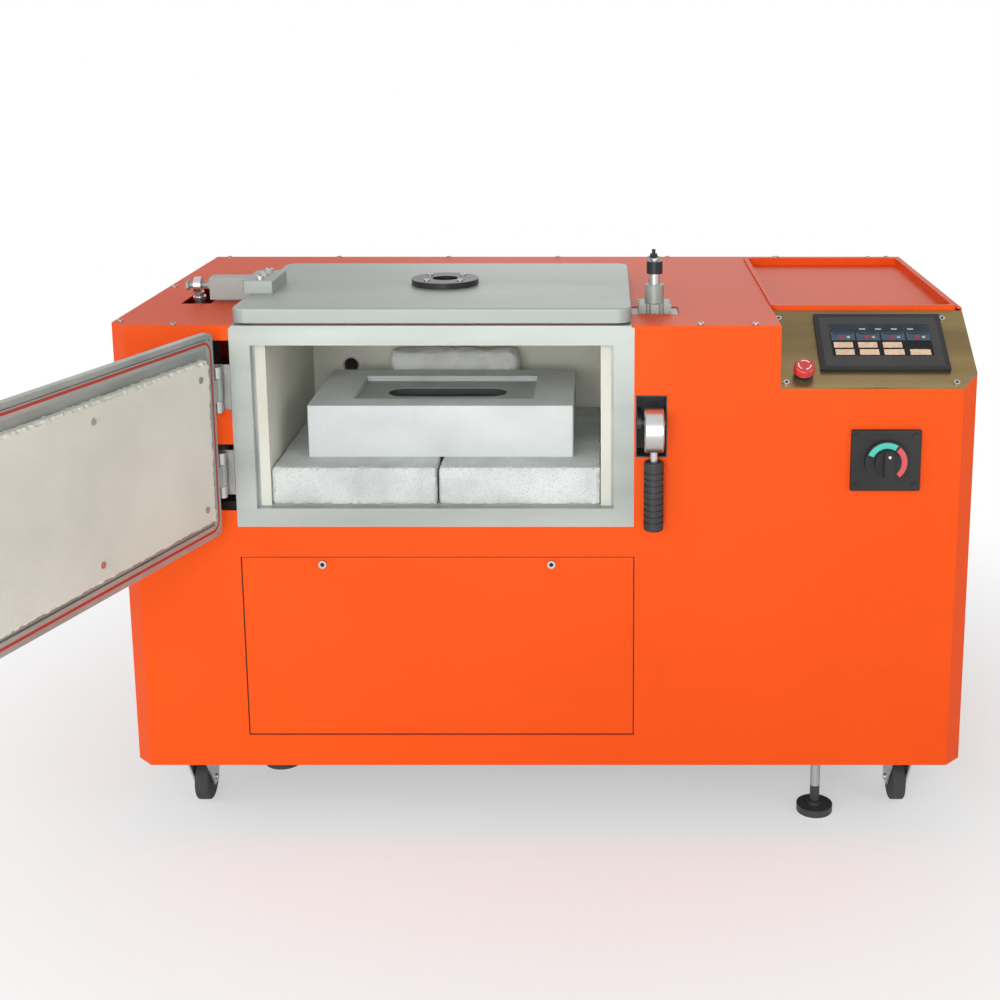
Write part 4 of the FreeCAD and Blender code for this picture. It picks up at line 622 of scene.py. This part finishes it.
def build_screw_socket_shade():
    """Painted shade in the hex holes of the cover's, console's, access panel's and lid's screws."""
    up = Vector((0, 0, 1))
    out = Vector((0, -1, 0))
    normal = Vector((0, -math.sin(SLOPE), math.cos(SLOPE)))
    # Each piece laid here is a dark hex disc of painted shade on a screw's head.
    socket_shades = []
    for low, high in islands("panel_screws"):
        centre = (low + high) / 2
        if centre.z < FRONT_SCREWS_BELOW:
            socket_shades.append(hex_socket_shade(PANEL_SOCKET, Vector((centre.x, low.y - SOCKET_LIFT, centre.z)), out))
        elif centre.x > CONSOLE_LEFT and centre.y < FRONT_FACE + CONSOLE_RUN:
            socket_shades.append(hex_socket_shade(SMALL_SOCKET, centre + normal * CONSOLE_SCREW_LIFT, normal))
        else:
            socket_shades.append(hex_socket_shade(SMALL_SOCKET, Vector((centre.x, centre.y, high.z + SOCKET_LIFT)), up))
    dress(merge(socket_shades), "panel_screw_socket_shade", FINISHES["hole"], "cabinet")
    lid_socket_shades = []
    for low, high in islands("lid_screws"):
        top = Vector(((low.x + high.x) / 2, (low.y + high.y) / 2, high.z + SOCKET_LIFT))
        lid_socket_shades.append(hex_socket_shade(LID_SOCKET_SHARE * (high.x - low.x) / 2, top, up))
    dress(merge(lid_socket_shades), "lid_screw_socket_shade", FINISHES["hole"], "lid")


ACCESS_LAP = 0.010
GAP = 0.0016
GAP_DEPTH = 0.0004


def build_panel_gap_shade():
    """The gap round the access panel, seen between it and the front, as thin dark strips of painted shade."""
    low, high = (Vector(corner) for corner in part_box("access_panel"))
    x0, x1 = low.x + ACCESS_LAP, high.x - ACCESS_LAP
    z0, z1 = low.z + ACCESS_LAP, high.z - ACCESS_LAP
    gap_shade_strips = []
    for left, right, base, top in ((x0, x0 + GAP, z0, z1), (x1 - GAP, x1, z0, z1),
                                   (x0, x1, z0, z0 + GAP), (x0, x1, z1 - GAP, z1)):
        gap_shade_strips.append(slab((right - left, GAP_DEPTH, top - base),
                           ((left + right) / 2, low.y - GAP_DEPTH / 2, (base + top) / 2)))
    dress(merge(gap_shade_strips), "access_gap_shade", FINISHES["hole"], "cabinet")


WAD_SHARE = 0.9
WAD_VOXEL = 0.004
WAD_LUMPS = ((0.055, 0.016), (0.02, 0.007), (0.007, 0.0025))
WAD_MARGIN = 0.0002


def even_mesh(obj, voxel):
    """Rebuilds a piece with an even mesh."""
    remesh = obj.modifiers.new("even mesh", "REMESH")
    remesh.mode = "VOXEL"
    remesh.voxel_size = voxel
    apply_modifiers(obj)


def build_wad():
    """Loose ceramic fibre, torn into soft lumps."""
    low, high = (Vector(corner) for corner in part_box("fibre_wad"))
    size = high - low
    obj = slab(tuple(size * WAD_SHARE), tuple((low + high) / 2), edge=0.018)
    even_mesh(obj, WAD_VOXEL)
    for scale, strength in WAD_LUMPS:
        texture = bpy.data.textures.new(f"lumps {scale}", "CLOUDS")
        texture.noise_scale = scale
        shift = obj.modifiers.new("lumps", "DISPLACE")
        shift.texture = texture
        shift.texture_coords = "LOCAL"
        shift.strength = strength
        shift.mid_level = 0.55
        apply_modifiers(obj)
    for vertex in obj.data.vertices:
        for axis in range(3):
            vertex.co[axis] = min(max(vertex.co[axis], low[axis] + WAD_MARGIN), high[axis] - WAD_MARGIN)
    pick_only(obj)
    bpy.ops.object.shade_smooth()
    dress(obj, "fibre_wad_soft", FINISHES["fibre"], "cabinet")
    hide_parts("fibre_wad")


def door_matrix():
    """From the shut door's own coordinates, its hinge axis at zero, to the open door's place."""
    hinge = next(joint for joint in frame["joints"] if joint["name"] == "door_hinge")
    open_angle = math.radians(hinge["range_deg"][1])
    x, y, _ = hinge["pos_m"]
    return Matrix.Translation((x, y, 0)) @ Matrix.Rotation(-open_angle, 4, "Z")


CHIP_SCALE = 140
CHIP_BIAS = 0.4


def chipped(obj, low, high, reach, depth):
    """Crumbles a board's edges: points near an edge move inwards by uneven amounts."""
    for vertex in obj.data.vertices:
        gaps = sorted((min(vertex.co[a] - low[a], high[a] - vertex.co[a]), a) for a in range(3))
        (first, a), (second, b) = gaps[0], gaps[1]
        if second > reach:
            continue
        bite = depth * max(0.0, noise.noise(vertex.co * CHIP_SCALE) + CHIP_BIAS) * (1 - second / reach)
        for axis in (a, b):
            way = 1 if vertex.co[axis] - low[axis] < high[axis] - vertex.co[axis] else -1
            vertex.co[axis] += way * bite
    obj.data.update()


def board(name, node_low, node_high, voxel, reach, depth):
    """A fired board with an even mesh and crumbled edges, in its own coordinates."""
    low, high = Vector(node_low), Vector(node_high)
    obj = slab(tuple(high - low), tuple((low + high) / 2))
    even_mesh(obj, voxel)
    chipped(obj, low, high, reach, depth)
    obj.name = name
    return obj


PAD_LOW, PAD_HIGH = (0.055, 0.008, 0.554), (0.606, 0.026, 0.807)


def build_boards():
    """The door's pad and the two fire bricks with worn edges."""
    pad = board("door_pad_worn", PAD_LOW, PAD_HIGH, voxel=0.003, reach=0.006, depth=0.0035)
    move_mesh(pad, door_matrix())
    dress(pad, "door_pad_worn", FINISHES["refractory"], "door")
    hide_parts("door_pad")
    bricks = []
    for n, (low, high) in enumerate(sorted(islands("fire_bricks"), key=lambda part: part[0].x)):
        bricks.append(board(f"brick_{n}", low, high, voxel=0.004, reach=0.007, depth=0.003))
    whole = merge(bricks)
    dress(whole, "fire_bricks_worn", FINISHES["brick"], "cabinet")
    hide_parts("fire_bricks")


# Stage

def seen_rays(tree):
    """One for rays from the camera or off glossy and clear surfaces, zero for light on the object."""
    path = tree.nodes.new("ShaderNodeLightPath")
    last = path.outputs["Is Camera Ray"]
    for label in ("Is Glossy Ray", "Is Transmission Ray"):
        either = tree.nodes.new("ShaderNodeMath")
        either.operation = "MAXIMUM"
        tree.links.new(last, either.inputs[0])
        tree.links.new(path.outputs[label], either.inputs[1])
        last = either.outputs["Value"]
    return last


FLOOR_FADE = (0.5, 1.7)
FLOOR_NEAR_WHITE = 0.45
LAMP_AIM = (0, 0, 0.5)

# Name, place, size and share of the key light's power

LAMPS = (("key", (-0.5, -4.2, 1.5), 2.4, 1.0),
         ("left", (-3.0, -2.2, 2.2), 1.8, 0.3),
         ("right", (3.0, -2.0, 1.9), 1.8, 0.22),
         ("rear", (0.4, 3.4, 2.6), 2.4, 0.16))


def floor_finish():
    """A pale floor that takes the object's shadow and is white further out."""
    made = bpy.data.materials.new("Pale floor")
    made.use_nodes = True
    nodes, links = made.node_tree.nodes, made.node_tree.links
    shader = nodes["Principled BSDF"]
    shader.inputs["Base Color"].default_value = (0.9, 0.9, 0.9, 1)
    shader.inputs["Roughness"].default_value = 0.95
    white = nodes.new("ShaderNodeEmission")
    white.inputs["Color"].default_value = (1, 1, 1, 1)
    place = nodes.new("ShaderNodeTexCoord")
    far = nodes.new("ShaderNodeVectorMath")
    far.operation = "LENGTH"
    links.new(place.outputs["Object"], far.inputs[0])
    fade = nodes.new("ShaderNodeMapRange")
    fade.interpolation_type = "SMOOTHSTEP"
    fade.inputs["From Min"].default_value, fade.inputs["From Max"].default_value = FLOOR_FADE
    fade.inputs["To Min"].default_value = FLOOR_NEAR_WHITE
    links.new(far.outputs["Value"], fade.inputs["Value"])
    both = nodes.new("ShaderNodeMath")
    both.operation = "MULTIPLY"
    links.new(fade.outputs["Result"], both.inputs[0])
    links.new(seen_rays(made.node_tree), both.inputs[1])
    mix = nodes.new("ShaderNodeMixShader")
    links.new(both.outputs["Value"], mix.inputs["Fac"])
    links.new(shader.outputs["BSDF"], mix.inputs[1])
    links.new(white.outputs["Emission"], mix.inputs[2])
    links.new(mix.outputs["Shader"], nodes["Material Output"].inputs["Surface"])
    return made


def build_stage(stage):
    """The floor, the world, four soft lamps and the camera."""
    bpy.ops.object.select_all(action="DESELECT")
    bpy.ops.mesh.primitive_plane_add(size=16, location=(0, 0, -0.0005))
    floor = bpy.context.active_object
    floor.name = "floor"
    floor.data.materials.append(floor_finish())
    world = bpy.data.worlds.new("Studio")
    world.use_nodes = True
    bpy.context.scene.world = world
    background = world.node_tree.nodes["Background"]
    background.inputs["Color"].default_value = (1, 1, 1, 1)
    strength = world.node_tree.nodes.new("ShaderNodeMapRange")
    strength.inputs["To Min"].default_value = stage.world_strength
    strength.inputs["To Max"].default_value = 1.0
    world.node_tree.links.new(seen_rays(world.node_tree), strength.inputs["Value"])
    world.node_tree.links.new(strength.outputs["Result"], background.inputs["Strength"])
    for name, place, size, share in LAMPS:
        bpy.ops.object.light_add(type="AREA", location=place)
        lamp = bpy.context.active_object
        lamp.name = name
        lamp.data.size = size
        lamp.data.energy = stage.key_power * share
        lamp.rotation_euler = (Vector(LAMP_AIM) - Vector(place)).to_track_quat("-Z", "Y").to_euler()
    bpy.ops.object.camera_add(location=stage.camera_place, rotation=(math.radians(90 - stage.pitch), 0, 0))
    camera = bpy.context.active_object
    camera.data.lens = stage.lens
    camera.data.sensor_width = 36
    camera.data.shift_x = stage.shift_x
    camera.data.shift_y = stage.shift_y
    bpy.context.scene.camera = camera
    bpy.context.scene.view_settings.view_transform = "Standard"


# The add-on: settings, operators and panel

class CastingColours(bpy.types.PropertyGroup):
    """Colours that a user would change."""
    paint: bpy.props.FloatVectorProperty(name="Paint", description="Powder coat of the cabinet",
                                         subtype="COLOR", default=(0.85, 0.088, 0.006))
    paint_shade: bpy.props.FloatVectorProperty(name="Paint shade", description="Darker drift in the paint",
                                               subtype="COLOR", default=(0.79, 0.077, 0.005))
    aluminium: bpy.props.FloatVectorProperty(name="Aluminium", description="Lid and arm",
                                             subtype="COLOR", default=(0.35, 0.385, 0.36))
    console: bpy.props.FloatVectorProperty(name="Console", description="Sloped console plate",
                                           subtype="COLOR", default=(0.33, 0.24, 0.105))


class CastingStage(bpy.types.PropertyGroup):
    """Light and camera."""
    key_power: bpy.props.FloatProperty(name="Key light", description="Power of the key light",
                                       default=104.0, unit="POWER")
    world_strength: bpy.props.FloatProperty(name="World", description="Strength of the world's light",
                                            default=0.33)
    camera_place: bpy.props.FloatVectorProperty(name="Camera", description="Place of the camera",
                                                subtype="TRANSLATION", default=(0.089, -2.63, 1.307))
    pitch: bpy.props.FloatProperty(name="Pitch", description="Degrees the camera looks down", default=11.5)
    lens: bpy.props.FloatProperty(name="Lens", description="Focal length in millimetres", default=54.6)
    shift_x: bpy.props.FloatProperty(name="Shift X", description="Sideways shift", default=-0.103)
    shift_y: bpy.props.FloatProperty(name="Shift Y", description="Upward shift", default=-0.173)


class CASTING_OT_finishes(bpy.types.Operator):
    """Make the finishes and put them on the rigid parts"""
    bl_idname = "casting.finishes"
    bl_label = "Finishes"

    def execute(self, context):
        make_finishes(context.scene.casting_colours)
        finish_nodes()
        return {"FINISHED"}


class CASTING_OT_console(bpy.types.Operator):
    """Add the screen's areas and the marks on the stop button"""
    bl_idname = "casting.console"
    bl_label = "Console trim"

    def execute(self, context):
        build_screen()
        build_stop_marks()
        return {"FINISHED"}


class CASTING_OT_switch(bpy.types.Operator):
    """Add the main switch's scale and dot"""
    bl_idname = "casting.switch"
    bl_label = "Switch trim"

    def execute(self, context):
        build_switch_marks()
        return {"FINISHED"}


class CASTING_OT_screws(bpy.types.Operator):
    """Add the painted shade in the screws' hex holes and in the gap round the access panel"""
    bl_idname = "casting.screws"
    bl_label = "Screw sockets"

    def execute(self, context):
        build_screw_socket_shade()
        build_panel_gap_shade()
        return {"FINISHED"}


class CASTING_OT_wad(bpy.types.Operator):
    """Model the wad of ceramic fibre"""
    bl_idname = "casting.wad"
    bl_label = "Fibre wad"

    def execute(self, context):
        build_wad()
        return {"FINISHED"}


class CASTING_OT_boards(bpy.types.Operator):
    """Model the worn fire bricks and the door's pad"""
    bl_idname = "casting.boards"
    bl_label = "Bricks and pad"

    def execute(self, context):
        build_boards()
        return {"FINISHED"}


class CASTING_OT_stage(bpy.types.Operator):
    """Set up the floor, light and camera"""
    bl_idname = "casting.stage"
    bl_label = "Stage"

    def execute(self, context):
        build_stage(context.scene.casting_stage)
        return {"FINISHED"}


class CASTING_PT_panel(bpy.types.Panel):
    """Lists the settings and steps"""
    bl_label = "Casting machine"
    bl_idname = "CASTING_PT_panel"
    bl_space_type = "VIEW_3D"
    bl_region_type = "UI"
    bl_category = "Casting machine"

    def draw(self, context):
        for group in (context.scene.casting_colours, context.scene.casting_stage):
            for name in group.__annotations__:
                self.layout.prop(group, name)
        for step in STEPS:
            self.layout.operator(step.bl_idname)


STEPS = (CASTING_OT_finishes, CASTING_OT_console, CASTING_OT_switch, CASTING_OT_screws,
         CASTING_OT_wad, CASTING_OT_boards, CASTING_OT_stage)
CLASSES = (CastingColours, CastingStage, *STEPS, CASTING_PT_panel)


def register():
    for item in CLASSES:
        bpy.utils.register_class(item)
    bpy.types.Scene.casting_colours = bpy.props.PointerProperty(type=CastingColours)
    bpy.types.Scene.casting_stage = bpy.props.PointerProperty(type=CastingStage)


def unregister():
    del bpy.types.Scene.casting_stage
    del bpy.types.Scene.casting_colours
    for item in reversed(CLASSES):
        bpy.utils.unregister_class(item)


def main():
    register()
    bpy.ops.casting.finishes()
    bpy.ops.casting.console()
    bpy.ops.casting.switch()
    bpy.ops.casting.screws()
    bpy.ops.casting.wad()
    bpy.ops.casting.boards()
    bpy.ops.casting.stage()


if __name__ == "__main__":
    main()
